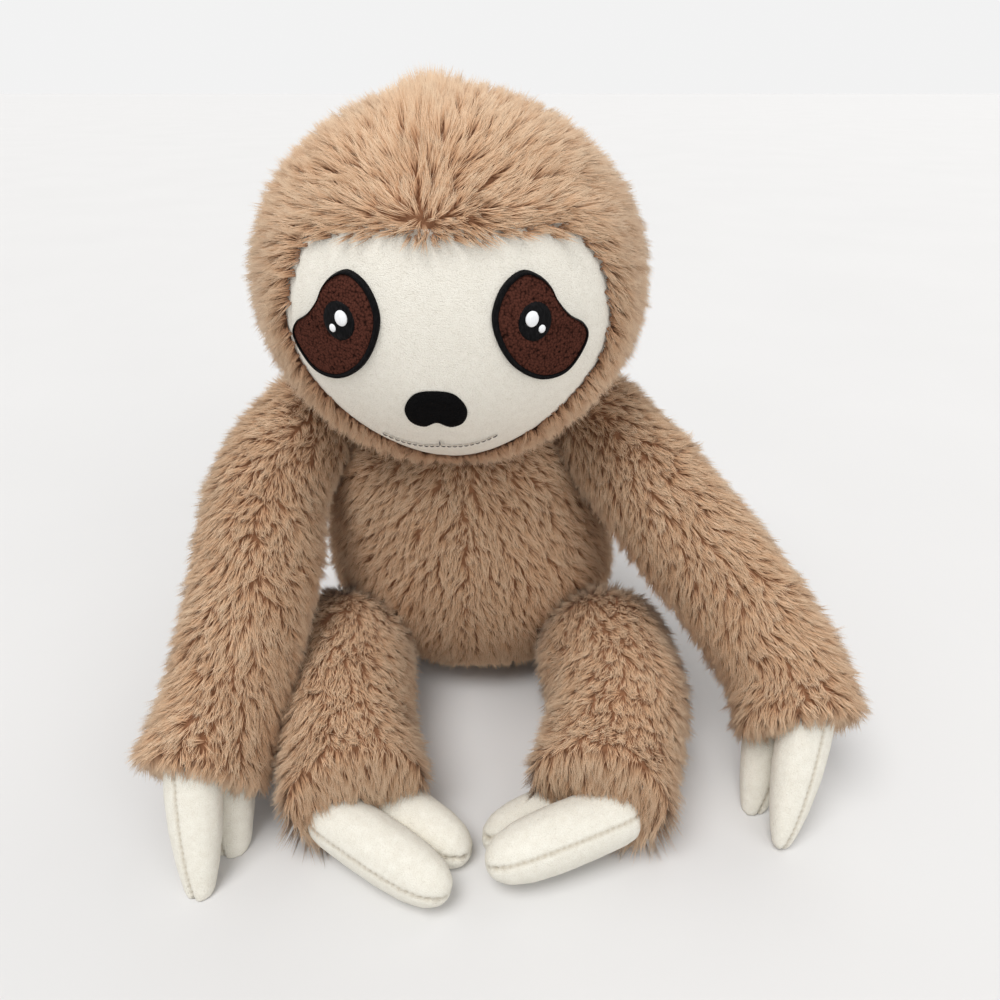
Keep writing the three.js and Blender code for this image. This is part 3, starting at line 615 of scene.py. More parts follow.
@dataclass
class Pile:
    """Long pile: tufts of tapering strands, scattered over a skin and gathered into locks."""

    strand_width: float = 0.4 * MM
    tuft_spread: float = 1.15 * MM
    strands_per_tuft: int = 8
    variants: int = 6
    lock_size: float = 7 * MM
    gather: float = 0.9
    stray: float = 0.22
    wind: float = 1.7
    wind_scale: float = 45.0
    shade_scale: float = 60.0
    most_per_square_metre: float = 900000.0
    softness: float = 0.7
    floor_gap: float = 0.4 * MM
    tufts: bpy.types.Collection | None = None
    group: bpy.types.NodeTree | None = None

    def build(self) -> "Pile":
        """Makes the tufts and the scattering."""
        self.tufts = bpy.data.collections.new("tufts")
        draw = random.Random(11)
        for number in range(self.variants):
            tuft = bpy.data.objects.new(f"tuft_{number}", self.tuft(draw))
            self.tufts.objects.link(tuft)
        self.group = self.scatter()
        return self

    def tuft(self, draw: random.Random) -> bpy.types.Mesh:
        """One tuft, a unit high, of strands that draw together at their tips.

        Args:
            draw: The seeded draws.

        Returns:
            The tuft's mesh, with each corner's place on the pile's map.
        """
        shape = bmesh.new()
        weft = shape.verts.layers.float_vector.new("weft")
        for _ in range(self.strands_per_tuft):
            angle = draw.uniform(0, 2 * math.pi)
            away = self.tuft_spread * math.sqrt(draw.random())
            foot = Vector((away * math.cos(angle), away * math.sin(angle), 0))
            tip = foot * draw.uniform(0.1, 0.7) + Vector((draw.gauss(0, 1), draw.gauss(0, 1), 0)) * 0.9 * MM
            high = draw.uniform(0.72, 1.0)
            made = bmesh.ops.create_cone(
                shape, cap_ends=True, cap_tris=False, segments=3,
                radius1=self.strand_width / math.sqrt(3), radius2=0, depth=1,
                matrix=Matrix.Translation((0, 0, 0.5)) @ Matrix.Rotation(draw.uniform(0, 6.28), 4, "Z"))
            for number, vert in enumerate(sorted(made["verts"], key=lambda v: v.co.z)):
                top = vert.co.z > 0.5
                vert[weft] = (0.0015, 1.0, 0) if top else (0.003 * (number % 3), 0.004 * (number == 1), 0)
                vert.co = Vector((0, 0, high)) + tip if top else Vector((vert.co.x, vert.co.y, 0)) + foot
        return mesh_of(shape, "tuft")

    def scatter(self) -> bpy.types.NodeTree:
        """The scattering of tufts over a seed skin, joined with the cloth that carries them."""
        group = bpy.data.node_groups.new("pile", "GeometryNodeTree")
        declare(group, {"Geometry": "Geometry", "Cloth": "Object", "Spacing": "Float", "Seed": "Int"},
                {"Geometry": "Geometry"})
        wiring = Wiring(group)
        entry = group.nodes.new("NodeGroupInput").outputs

        def attribute(name: str, kind: str) -> bpy.types.NodeSocket:
            return wiring.out("GeometryNodeInputNamedAttribute", {"Name": name}, data_type=kind)

        def drawn(low: Any, high: Any, seed: int, kind: str = "FLOAT") -> bpy.types.NodeSocket:
            return wiring.out("FunctionNodeRandomValue", {"Min": low, "Max": high, "Seed": seed},
                              data_type=kind)

        spread = wiring.add("GeometryNodeDistributePointsOnFaces", {
            "Mesh": entry["Geometry"], "Distance Min": entry["Spacing"],
            "Density Max": self.most_per_square_metre,
            "Density Factor": attribute("cover", "FLOAT"), "Seed": entry["Seed"],
        }, distribute_method="POISSON")
        normal = spread.outputs["Normal"]
        here = wiring.out("GeometryNodeInputPosition")
        reach = attribute("reach", "FLOAT")
        lock = wiring.add("ShaderNodeTexVoronoi", {
            "Vector": here, "Scale": 1 / self.lock_size, "Randomness": 0.9}, feature="F1")
        inward = wiring.flattened(wiring.vector("SUBTRACT", lock.outputs["Position"], here), normal)
        lean = wiring.scaled(attribute("way", "FLOAT_VECTOR"), reach)
        wind = wiring.add("ShaderNodeTexNoise", {"Vector": here, "Scale": self.wind_scale, "Detail": 3.0})
        wave = wiring.vector("SUBTRACT", wind.outputs["Color"], (0.5, 0.5, 0.5))
        wander = wiring.vector("ADD", wiring.scaled(wave, self.wind),
                               drawn((-self.stray,) * 3, (self.stray,) * 3, 3, "FLOAT_VECTOR"))
        wander = wiring.scaled(wiring.flattened(wander, normal), reach)
        gathered = wiring.scaled(inward, self.gather)
        way = wiring.vector("ADD", wiring.vector("ADD", lean, gathered), wander)
        turn = wiring.out("FunctionNodeAlignRotationToVector", {"Vector": way}, axis="Z")
        spin = wiring.out("FunctionNodeAxisAngleToRotation", {"Angle": drawn(0.0, 2 * math.pi, 5)})
        turn = wiring.out("FunctionNodeRotateRotation", {0: turn, 1: spin}, rotation_space="LOCAL")
        size = wiring.out("ShaderNodeCombineXYZ", {
            "X": 1.0, "Y": 1.0, "Z": wiring.math("MULTIPLY", reach, drawn(0.78, 1.1, 7))})
        patch = wiring.out("ShaderNodeTexNoise", {"Vector": here, "Scale": self.shade_scale, "Detail": 2.0})
        shade = wiring.math("ADD", wiring.math("MULTIPLY", wiring.math("SUBTRACT", patch, 0.5), 1.1),
                            drawn(0.15, 0.75, 9))
        shade = wiring.math("MINIMUM", wiring.math("MAXIMUM", shade, 0.03), 0.95)
        points = wiring.out("GeometryNodeStoreNamedAttribute", {
            "Geometry": spread.outputs["Points"], "Name": "shade", "Value": shade},
            data_type="FLOAT", domain="POINT")
        points = wiring.out("GeometryNodeStoreNamedAttribute", {
            "Geometry": points, "Name": "ground", "Value": normal},
            data_type="FLOAT_VECTOR", domain="POINT")
        choice = wiring.out("GeometryNodeCollectionInfo", {
            "Collection": self.tufts, "Separate Children": True, "Reset Children": True})
        grown = wiring.out("GeometryNodeInstanceOnPoints", {
            "Points": points, "Instance": choice, "Pick Instance": True,
            "Instance Index": drawn(0, self.variants - 1, 13, "INT"), "Rotation": turn, "Scale": size})
        grown = wiring.out("GeometryNodeRealizeInstances", {"Geometry": grown})
        placed = wiring.add("ShaderNodeSeparateXYZ", {0: wiring.out("GeometryNodeInputPosition")})
        above = wiring.out("ShaderNodeCombineXYZ", {
            "X": placed.outputs["X"], "Y": placed.outputs["Y"],
            "Z": wiring.math("MAXIMUM", placed.outputs["Z"], self.floor_gap)})
        grown = wiring.out("GeometryNodeSetPosition", {"Geometry": grown, "Position": above})
        weft = wiring.add("ShaderNodeSeparateXYZ", {0: attribute("weft", "FLOAT_VECTOR")})
        across = wiring.math("ADD", wiring.math("MULTIPLY", attribute("shade", "FLOAT"), 0.98),
                             weft.outputs["X"])
        up = wiring.math("ADD", wiring.math("MULTIPLY", weft.outputs["Y"], 0.94), 0.04)
        grown = wiring.out("GeometryNodeStoreNamedAttribute", {
            "Geometry": grown, "Name": BAKE_MAP,
            "Value": wiring.out("ShaderNodeCombineXYZ", {"X": across, "Y": up})},
            data_type="FLOAT2", domain="CORNER")
        cloth = wiring.add("GeometryNodeObjectInfo", {"Object": entry["Cloth"]})
        join = wiring.add("GeometryNodeJoinGeometry")
        group.links.new(grown, join.inputs[0])
        group.links.new(cloth.outputs["Geometry"], join.inputs[0])
        group.links.new(join.outputs[0], group.nodes.new("NodeGroupOutput").inputs[0])
        return group

    def grow(
        self,
        name: str,
        cloth: bmesh.types.BMesh,
        seeds: bmesh.types.BMesh,
        lay: Callable[[np.ndarray, np.ndarray], Lay],
        spacing: float,
        seed: int,
    ) -> bpy.types.Mesh:
        """Grows the pile of a panel.

        Args:
            name: The panel's name.
            cloth: The panel's closed cloth.
            seeds: A fine skin that the tufts are rooted on.
            lay: How the pile lies, from places and normals.
            spacing: The least space between tufts.
            seed: The seed of the draws.

        Returns:
            The mesh of the cloth with its pile.
        """
        self.map_cloth(cloth)
        carrier = add_object(f"{name}_cloth", mesh_of(cloth, f"{name}_cloth"))
        seeds.normal_update()
        skin = mesh_of(seeds, f"{name}_seeds")
        found = lay(rows_of(skin.vertices, "co"), rows_of(skin.vertices, "normal"))
        for key, kind, values in (("way", "FLOAT_VECTOR", found.ways), ("reach", "FLOAT", found.reach),
                                  ("cover", "FLOAT", found.cover)):
            slot = "vector" if kind == "FLOAT_VECTOR" else "value"
            skin.attributes.new(key, kind, "POINT").data.foreach_set(slot, values.astype(np.float32).ravel())
        ground = add_object(f"{name}_seeds", skin)
        modifier = ground.modifiers.new("pile", "NODES")
        modifier.node_group = self.group
        sockets = {item.name: item.identifier for item in self.group.interface.items_tree
                   if item.in_out == "INPUT"}
        for key, value in (("Cloth", carrier), ("Spacing", spacing), ("Seed", seed)):
            modifier[sockets[key]] = value
        grown = evaluated_mesh(ground)
        grown.name = name
        self.soften(grown)
        for extra in ("weft", "shade", "way", "reach", "cover", "ground"):
            if extra in grown.attributes:
                grown.attributes.remove(grown.attributes[extra])
        for helper in (ground, carrier):
            bpy.data.objects.remove(helper)
        return grown

    def soften(self, mesh: bpy.types.Mesh) -> None:
        """Turns the strands' normals most of the way to the skin's, as soft pile takes the light."""
        ground, own = rows_of(mesh.attributes["ground"].data, "vector"), rows_of(mesh.vertices, "normal")
        mixed = unit(own * (1 - self.softness) + ground * self.softness)
        mixed[np.linalg.norm(ground, axis=1) < 0.1] = 0
        mesh.normals_split_custom_set_from_vertices(mixed.tolist())

    def map_cloth(self, cloth: bmesh.types.BMesh) -> None:
        """Lays the cloth on the dark end of the pile's map, a colour that is partly painted shade in the gaps
        between tufts, with a real width for each face.
        """
        layer = cloth.loops.layers.uv.new(BAKE_MAP)
        places = np.array([vert.co for vert in cloth.verts])
        low = places.min(axis=0)
        size = places.max(axis=0) - low
        for face in cloth.faces:
            for loop in face.loops:
                x, y, z = (np.array(loop.vert.co) - low) / size
                loop[layer].uv = (0.04 + 0.9 * (0.7 * x + 0.3 * y), 0.003 + 0.03 * (0.7 * z + 0.3 * y))


PILE = Pile()


@dataclass(frozen=True)
class Egg:
    """An ellipsoid."""

    centre: Vector
    half: Vector

    def skin(self, inset: float, sides: int, rings: int) -> bmesh.types.BMesh:
        """Its skin, smaller by the inset all round."""
        shape = bmesh.new()
        bmesh.ops.create_uvsphere(shape, u_segments=sides, v_segments=rings, radius=1)
        size = self.half - Vector((inset, inset, inset))
        bmesh.ops.scale(shape, vec=size, verts=shape.verts)
        bmesh.ops.translate(shape, vec=self.centre, verts=shape.verts)
        return shape

    def depth(self, places: np.ndarray) -> np.ndarray:
        """About how deep inside it each place lies."""
        scaled = (places - np.array(self.centre)) / np.array(self.half)
        return (1 - np.linalg.norm(scaled, axis=1)) * min(self.half)


@dataclass
class Torso:
    """The pear-shaped body: two front panels that meet in a seam, and a back."""

    half_width: float = 91 * MM
    half_depth: float = 74 * MM
    height: float = 178 * MM
    flat_depth: float = 0.5 * MM
    lean: float = 14 * MM
    side_seam_ahead: float = 16 * MM
    bare_below: float = 5.6 * MM
    skin_inset: float = 3 * MM
    cloth: float = 1.2 * MM
    reach: float = 10.5 * MM
    spacing: float = 1.75 * MM
    back_spacing: float = 2.25 * MM
    profile_shares: tuple[tuple[float, float, float], ...] = (
        (0, 0, 0), (0.42, 0.4, 0), (0.62, 0.56, 0.02), (0.81, 0.77, 0.09), (0.95, 0.93, 0.22),
        (1, 1, 0.4), (0.96, 0.96, 0.58), (0.86, 0.86, 0.76), (0.72, 0.72, 0.88),
        (0.45, 0.46, 0.965), (0, 0, 1))

    def skin(self, inset: float, sides: int, steps: int) -> bmesh.types.BMesh:
        """Its skin: the profile, turned about the upright axis and leant.

        Args:
            inset: How much smaller it is all round.
            sides: The sides of each ring.
            steps: The steps of each span of the profile.

        Returns:
            The skin.
        """
        profile = smooth_path([Vector((wide, 0, high)) for wide, _, high in self.profile_shares], steps)
        shape = turned(profile, sides, 1e-4)
        tall = self.height - 2 * inset
        for vert in shape.verts:
            share = vert.co.z
            vert.co = Vector((self.lean * (1 - share) + vert.co.x * (self.half_width - inset),
                              vert.co.y * (self.half_depth - inset),
                              inset - self.flat_depth + tall * share))
        return shape

    def depth(self, places: np.ndarray) -> np.ndarray:
        """About how deep inside it each place lies."""
        share = np.clip((places[:, 2] + self.flat_depth) / self.height, 0, 1)
        heights = [row[2] for row in self.profile_shares]
        wide = np.interp(share, heights, [row[0] for row in self.profile_shares]) + 1e-6
        radius = np.hypot((places[:, 0] - self.lean * (1 - share)) / self.half_width,
                          places[:, 1] / self.half_depth)
        sideways = (wide - radius) * self.half_depth
        ends = np.minimum(share, 1 - share) * self.height
        return np.minimum(sideways, ends)

    def lay(self, places: np.ndarray, normals: np.ndarray) -> Lay:
        """How its pile lies: combed down, and parted along the centre-front seam."""
        aside = places[:, 0] - self.lean * 0.5
        ways = np.zeros_like(places)
        ways[:, 2] = -1.0
        ways[:, 0] = 0.28 * np.tanh(aside / (5 * MM)) * (places[:, 1] < 0)
        ways[:, 1] = -0.05
        parting = np.exp(-(aside / (3 * MM)) ** 2) * (places[:, 1] < 0)
        under = rise(-normals[:, 2], 0.35, 0.9)
        lift = 42.0 + 10 * parting - 28 * under
        combed = leaning(along_skin(ways, normals), normals, lift)
        reach = self.reach * (1 - 0.25 * parting) * (1 - 0.45 * under)
        hidden = HEAD.form.depth(places) > HIDDEN_DEPTH
        bottom = places[:, 2] < self.bare_below
        cover = np.where(hidden | bottom, 0.0, 1.0)
        return Lay(combed, reach, cover)

    def build(self) -> None:
        """Makes the three panels."""
        panels = split(Vector((0, -self.side_seam_ahead, 0)),
                       ("torso_front_left", "torso_front_right", "torso_back"))
        for number, (name, seams) in enumerate(panels.items()):
            cloth = self.skin(self.skin_inset, 48, 3)
            seeds = self.skin(self.skin_inset, 144, 9)
            for shape in (cloth, seeds):
                for seam in seams:
                    seam.cut(shape)
            solid_shell(cloth, self.cloth)
            spacing = self.back_spacing if name == "torso_back" else self.spacing
            mesh = PILE.grow(name, cloth, seeds, self.lay, spacing, 20 + number)
            place_piece(f"{name}_pile", mesh, Slot.FUR, "torso", [name])


@dataclass
class Head:
    """The round head: two crown panels, a back panel, and the opening that the face fills."""

    form: Egg = Egg(Vector((1.5, -17, 245.5)) * MM, Vector((102, 94, 92)) * MM)
    back_seam_behind: float = 30 * MM
    skin_inset: float = 5 * MM
    cloth: float = 1.2 * MM
    reach: float = 12 * MM
    spacing: float = 1.8 * MM
    back_spacing: float = 2.2 * MM
    whorl: Vector = Vector((-6, -92, 297)) * MM
    crest_width: float = 11 * MM
    overlap: float = 2.5 * MM
    opening_inset: float = 7 * MM

    def lay(self, places: np.ndarray, normals: np.ndarray) -> Lay:
        """How its pile lies: out of a whorl over the face, with an upright crest on the midline."""
        whorl = np.array(self.whorl)
        away = places - whorl
        distance = np.linalg.norm(away, axis=1)
        radial = along_skin(away, normals)
        down = np.zeros_like(places)
        down[:, 2] = -1.0
        down[:, 1] = 0.25
        down[:, 0] = 0.35 * np.sign(places[:, 0] - whorl[0])
        settled = rise(distance, 45 * MM, 130 * MM)[:, None]
        ways = along_skin(radial * (1 - 0.75 * settled) + along_skin(down, normals) * settled * 0.9, normals)
        aside = places[:, 0] - whorl[0]
        crest = np.exp(-(aside / self.crest_width) ** 2) * rise(places[:, 2], 288 * MM, 308 * MM)
        crest *= rise(-places[:, 1], -60 * MM, 10 * MM)
        near = 1 - rise(distance, 8 * MM, 34 * MM)
        rim = FACE.rim_distance(places)
        by_face = (1 - rise(rim, 0, 12 * MM)) * (places[:, 1] < self.form.centre.y)
        lift = 42.0 + 34 * crest + 28 * near * (1 - 0.6 * by_face) - 12 * by_face
        combed = leaning(ways, normals, np.minimum(lift, 76))
        reach = self.reach * (1 + 0.35 * crest)
        inside_face = (rim < -self.overlap) & (places[:, 1] < self.form.centre.y)
        hidden = TORSO.depth(places) > HIDDEN_DEPTH
        cover = np.where(inside_face | hidden, 0.0, 1.0)
        return Lay(combed, reach, cover)

    def build(self) -> None:
        """Makes the three panels."""
        panels = split(Vector((0, self.form.centre.y + self.back_seam_behind, 0)),
                       ("crown_left", "crown_right", "head_back"))
        for number, (name, seams) in enumerate(panels.items()):
            cloth = self.form.skin(self.skin_inset, 56, 36)
            seeds = self.form.skin(self.skin_inset, 200, 128)
            for shape in (cloth, seeds):
                for cut in seams:
                    cut.cut(shape)
            self.open_face(cloth)
            self.lift_rim(seeds)
            solid_shell(cloth, self.cloth)
            spacing = self.back_spacing if name == "head_back" else self.spacing
            mesh = PILE.grow(name, cloth, seeds, self.lay, spacing, 40 + number)
            place_piece(f"{name}_pile", mesh, Slot.FUR, "head", [name])

    def lift_rim(self, seeds: bmesh.types.BMesh) -> None:
        """Lifts the skin by the face to the panel's height, so that the pile there falls over its edge."""
        places = np.array([vert.co for vert in seeds.verts])
        by_face = 1 - rise(FACE.rim_distance(places), 2 * MM, 12 * MM)
        front = places[:, 1] < self.form.centre.y
        lifts = by_face * front * (self.skin_inset - 0.5 * MM)
        for vert, lift in zip(seeds.verts, lifts):
            vert.co += (vert.co - self.form.centre).normalized() * lift

    def open_face(self, cloth: bmesh.types.BMesh) -> None:
        """Opens the cloth behind the face panel."""
        faces = list(cloth.faces)
        middles = np.array([face.calc_center_median() for face in faces])
        behind = FACE.rim_distance(middles) < -self.opening_inset
        front = middles[:, 1] < self.form.centre.y
        gone = [face for face, out in zip(faces, behind & front) if out]
        bmesh.ops.delete(cloth, geom=gone, context="FACES")


@dataclass
class Face:
    """The cream panel and all that is sewn on it, placed by X and Z on the head's front."""

    shift: float = 2.5 * MM
    half_width: float = 75 * MM
    height: float = 124 * MM
    top_above_middle: float = 42 * MM
    tuck: float = 0.3 * MM
    thickness: float = 2.6 * MM
    muzzle_shift: float = -3.5 * MM
    muzzle_rise: float = 3.2 * MM
    muzzle_spread: float = 27 * MM
    muzzle_tall: float = 20 * MM
    muzzle_above_nose: float = 4 * MM
    roll_depth: float = 2.6 * MM
    groove_depth: float = 0.6 * MM
    groove_width: float = 1.1 * MM
    nose_below_middle: float = 35 * MM
    edge_shares: tuple[tuple[float, float], ...] = (
        (0, 0.01), (0.45, 0), (0.78, 0.035), (0.95, 0.19), (1, 0.36), (0.95, 0.5), (0.76, 0.67),
        (0.46, 0.84), (0, 0.99))

    def outline(self, growth: float, steps: int) -> list[Vector]:
        """The panel's edge in X and Z, larger all round by the growth."""
        head = HEAD.form.centre
        middle = head.x + self.shift
        top = head.z + self.top_above_middle
        half = [(across * (self.half_width + growth), top + growth - down * (self.height + 2 * growth))
                for across, down in self.edge_shares]
        right = [(-across, up) for across, up in half[1:-1]][::-1]
        corners = [Vector((middle + across, 0, up)) for across, up in half + right]
        return smooth_path(corners, steps, closed=True)

    def rim_distance(self, places: np.ndarray) -> np.ndarray:
        """How far each place lies outside the panel's edge, seen from the front; less than zero inside."""
        edge = np.array([(place.x, place.z) for place in self.outline(0, 10)])
        flat = places[:, [0, 2]]
        start, end = edge, np.roll(edge, -1, axis=0)
        span = end - start
        offset = flat[:, None, :] - start[None]
        share = np.clip(np.sum(offset * span, axis=2) / np.sum(span * span, axis=1), 0, 1)
        near = np.linalg.norm(offset - share[..., None] * span, axis=2).min(axis=1)
        low, high = start[:, 1], end[:, 1]
        spans = (low[None] <= flat[:, 1:2]) != (high[None] <= flat[:, 1:2])
        rise_of = np.where(high == low, 1e-12, high - low)
        cross = start[:, 0] + (flat[:, 1:2] - low) / rise_of * (end[:, 0] - start[:, 0])
        inside = np.sum(spans & (cross > flat[:, 0:1]), axis=1) % 2 == 1
        return np.where(inside, -near, near)

    def point(self, x: float, z: float, height: float) -> Vector:
        """The point so high above the face at X and Z, on a muzzle that swells a little."""
        head, half = HEAD.form.centre, HEAD.form.half
        across = (x - head.x) / (half.x + height)
        up = (z - head.z) / (half.z + height)
        deep = (half.y + height) * math.sqrt(max(1 - across * across - up * up, 0.0))
        aside = (x - head.x - self.muzzle_shift) / self.muzzle_spread
        above = (z - head.z + self.nose_below_middle + self.muzzle_above_nose) / self.muzzle_tall
        swell = self.muzzle_rise * math.exp(-0.5 * (aside * aside + above * above))
        return Vector((x, head.y - deep - swell, z))

    def patch(
        self,
        outline: Sequence[Vector],
        rings: int,
        height: Callable[[float, Vector], float],
        thickness: float,
    ) -> bmesh.types.BMesh:
        """A closed patch on the face: rings drawn in from its edge, each point lifted to its height.

        Args:
            outline: Its edge in X and Z.
            rings: The rings between its edge and its middle.
            height: The height over the face, from the share inward and the flat place.
            thickness: Its thickness.

        Returns:
            The patch.
        """
        shape = bmesh.new()
        edge, loop = edge_loop(shape, outline)
        middle = sum(outline, Vector()) / len(outline)
        share_of = dict.fromkeys(edge, 0.0)
        for step in range(1, rings + 1):
            inner, loop = extruded(shape, loop)
            keep = (rings - step + 0.35) / (rings - step + 1.35)
            bmesh.ops.scale(shape, vec=(keep, 1, keep), verts=inner,
                            space=Matrix.Translation(-middle))
            share_of.update(dict.fromkeys(inner, step / rings))
        last, _ = extruded(shape, loop)
        bmesh.ops.pointmerge(shape, verts=last, merge_co=middle)
        for vert in shape.verts:
            inward = share_of.get(vert, 1.0)
            flat = vert.co.copy()
            vert.co = self.point(flat.x, flat.z, height(inward, flat))
        thicken_back(shape, thickness)
        return shape

    def build(self) -> None:
        """Makes the panel."""
        seam_x = HEAD.form.centre.x + self.muzzle_shift
        chin_top = HEAD.form.centre.z - self.nose_below_middle - 10 * MM

        def height(inward: float, flat: Vector) -> float:
            rolled = -self.roll_depth * (1 - min(inward / 0.08, 1.0)) ** 2
            below = min(max((chin_top - flat.z) / (6 * MM), 0.0), 1.0)
            groove = -self.groove_depth * below * math.exp(-((flat.x - seam_x) / self.groove_width) ** 2)
            return rolled + groove - 0.4 * MM

        shape = self.patch(self.outline(self.tuck, 14), 54, height, self.thickness)
        place_piece("face_panel_plush", mesh_of(shape, "face_panel"), Slot.FACE, "head", ["face_panel"])


@dataclass
class Eye:
    """One stitched eye: a felt patch, its satin edge, the pupil and its two white lights."""

    side_name: str
    side: float
    spread: float = 42 * MM
    shift: float = -1.5 * MM
    above_middle: float = 4 * MM
    width: float = 44 * MM
    height: float = 49 * MM
    stitch_width: float = 2.3 * MM
    inner_stitch_share: float = 0.58
    stitch_rise: float = 1.7 * MM
    felt_rise: float = 1.3 * MM
    thread_pitch: float = 0.6 * MM
    satin_rows: int = 7
    satin_steps: int = 52
    thread_relief: float = 0.14 * MM
    pupil_half: tuple[float, float] = (7.4 * MM, 8.6 * MM)
    edge_shares: tuple[tuple[float, float], ...] = (
        (-0.13, 0.45), (-0.31, 0.35), (-0.42, 0.11), (-0.37, -0.13), (-0.19, -0.39), (0.09, -0.55),
        (0.34, -0.53), (0.51, -0.35), (0.57, -0.18), (0.51, -0.07), (0.36, 0.03), (0.23, 0.17),
        (0.15, 0.3), (0.03, 0.4))

    def centre(self) -> Vector:
        """The pupil's middle, in X and Z."""
        head = HEAD.form.centre
        return Vector((head.x + self.shift + self.side * self.spread, 0, head.z + self.above_middle))

    def edge(self, inset: float, steps: int) -> list[Vector]:
        """The patch's edge, smaller by the inset."""
        middle = self.centre() + X_WAY * self.side * inset * self.inner_stitch_share
        corners = [middle + Vector((self.side * across * (self.width - 2 * inset), 0,
                                    up * (self.height - 2 * inset))) for across, up in self.edge_shares]
        return smooth_path(corners, steps, closed=True)

    def oval(self, across: float, up: float, half: tuple[float, float], count: int) -> list[Vector]:
        """An oval, so far out from the pupil's middle and above it."""
        middle = self.centre() + Vector((self.side * across, 0, up))
        turns = [2 * math.pi * step / count for step in range(count)]
        return [middle + Vector((half[0] * math.cos(turn), 0, half[1] * math.sin(turn))) for turn in turns]

    def satin_edge(self) -> bmesh.types.BMesh:
        """The satin-stitched edge: a rounded band of threads laid across it, side by side."""
        rows = self.satin_rows
        shape = bmesh.new()
        band = [self.edge(self.stitch_width * row / rows, self.satin_steps) for row in range(rows + 1)]
        count = len(band[0])
        verts, loop = edge_loop(shape, band[0])
        rings = [verts]
        for row in range(1, rows + 1):
            inner, loop = extruded(shape, loop)
            placed = {vert.co.to_tuple(9): vert for vert in inner}
            ring = [placed[place.co.to_tuple(9)] for place in rings[-1]]
            for vert, place in zip(ring, band[row]):
                vert.co = place
            rings.append(ring)
        gone = 0.0
        around = [gone]
        for place, following in zip(band[0], band[0][1:]):
            gone += (following - place).length
            around.append(gone)
        threads = round(gone / self.thread_pitch)
        for row, ring in enumerate(rings):
            arch = math.sin(math.pi * row / rows) ** 0.6 if 0 < row < rows else 0.0
            for number in range(count):
                turn = 2 * math.pi * threads * around[number] / (gone * count / (count - 1)) + 0.5 * row
                lift = arch * (self.stitch_rise + self.thread_relief * math.sin(turn))
                flat = ring[number].co
                ring[number].co = FACE.point(flat.x, flat.z, 0.1 * MM + lift)
        thicken_back(shape, 0.5 * MM)
        return shape

    def build(self) -> None:
        """Makes the pieces of the eye."""
        draw = random.Random(71)

        def felt(inward: float, flat: Vector) -> float:
            edge = 0.7 * MM * (1 - min(inward / 0.1, 1)) ** 2
            return self.felt_rise + draw.uniform(-0.16, 0.16) * MM - edge

        def domed(low: float, high: float) -> Callable[[float, Vector], float]:
            return lambda inward, flat: low + (high - low) * math.sqrt(1 - (1 - inward) ** 2)

        pieces = [
            ("eye_patch", Slot.FELT, self.patch_of(self.edge(self.stitch_width * 0.8, 12), 34, felt, 1.0)),
            ("eye_outline", Slot.BLACK, self.satin_edge()),
            ("pupil", Slot.BLACK, self.patch_of(
                self.oval(0, 1.1 * MM, self.pupil_half, 90), 14, domed(1.1 * MM, 2.5 * MM), 0.8)),
            ("eye_highlight", Slot.WHITE, self.patch_of(
                self.oval(-1.3 * MM, 2.7 * MM, (2.9 * MM, 3.4 * MM), 60), 9, domed(2.3 * MM, 3.4 * MM), 0.6)),
            ("eye_glint", Slot.WHITE, self.patch_of(
                self.oval(3 * MM, -1.9 * MM, (1.6 * MM, 1.9 * MM), 40), 6, domed(2.1 * MM, 3.1 * MM), 0.6)),
        ]
        for part, slot, shape in pieces:
            name = f"{self.side_name}_{part}"
            place_piece(f"{name}_sewn", mesh_of(shape, name), slot, "head", [name])

    def patch_of(self, outline: list[Vector], rings: int, height: Callable, thickness_mm: float) -> Any:
        """A closed patch on the face, so many millimetres thick."""
        return FACE.patch(outline, rings, height, thickness_mm * MM)


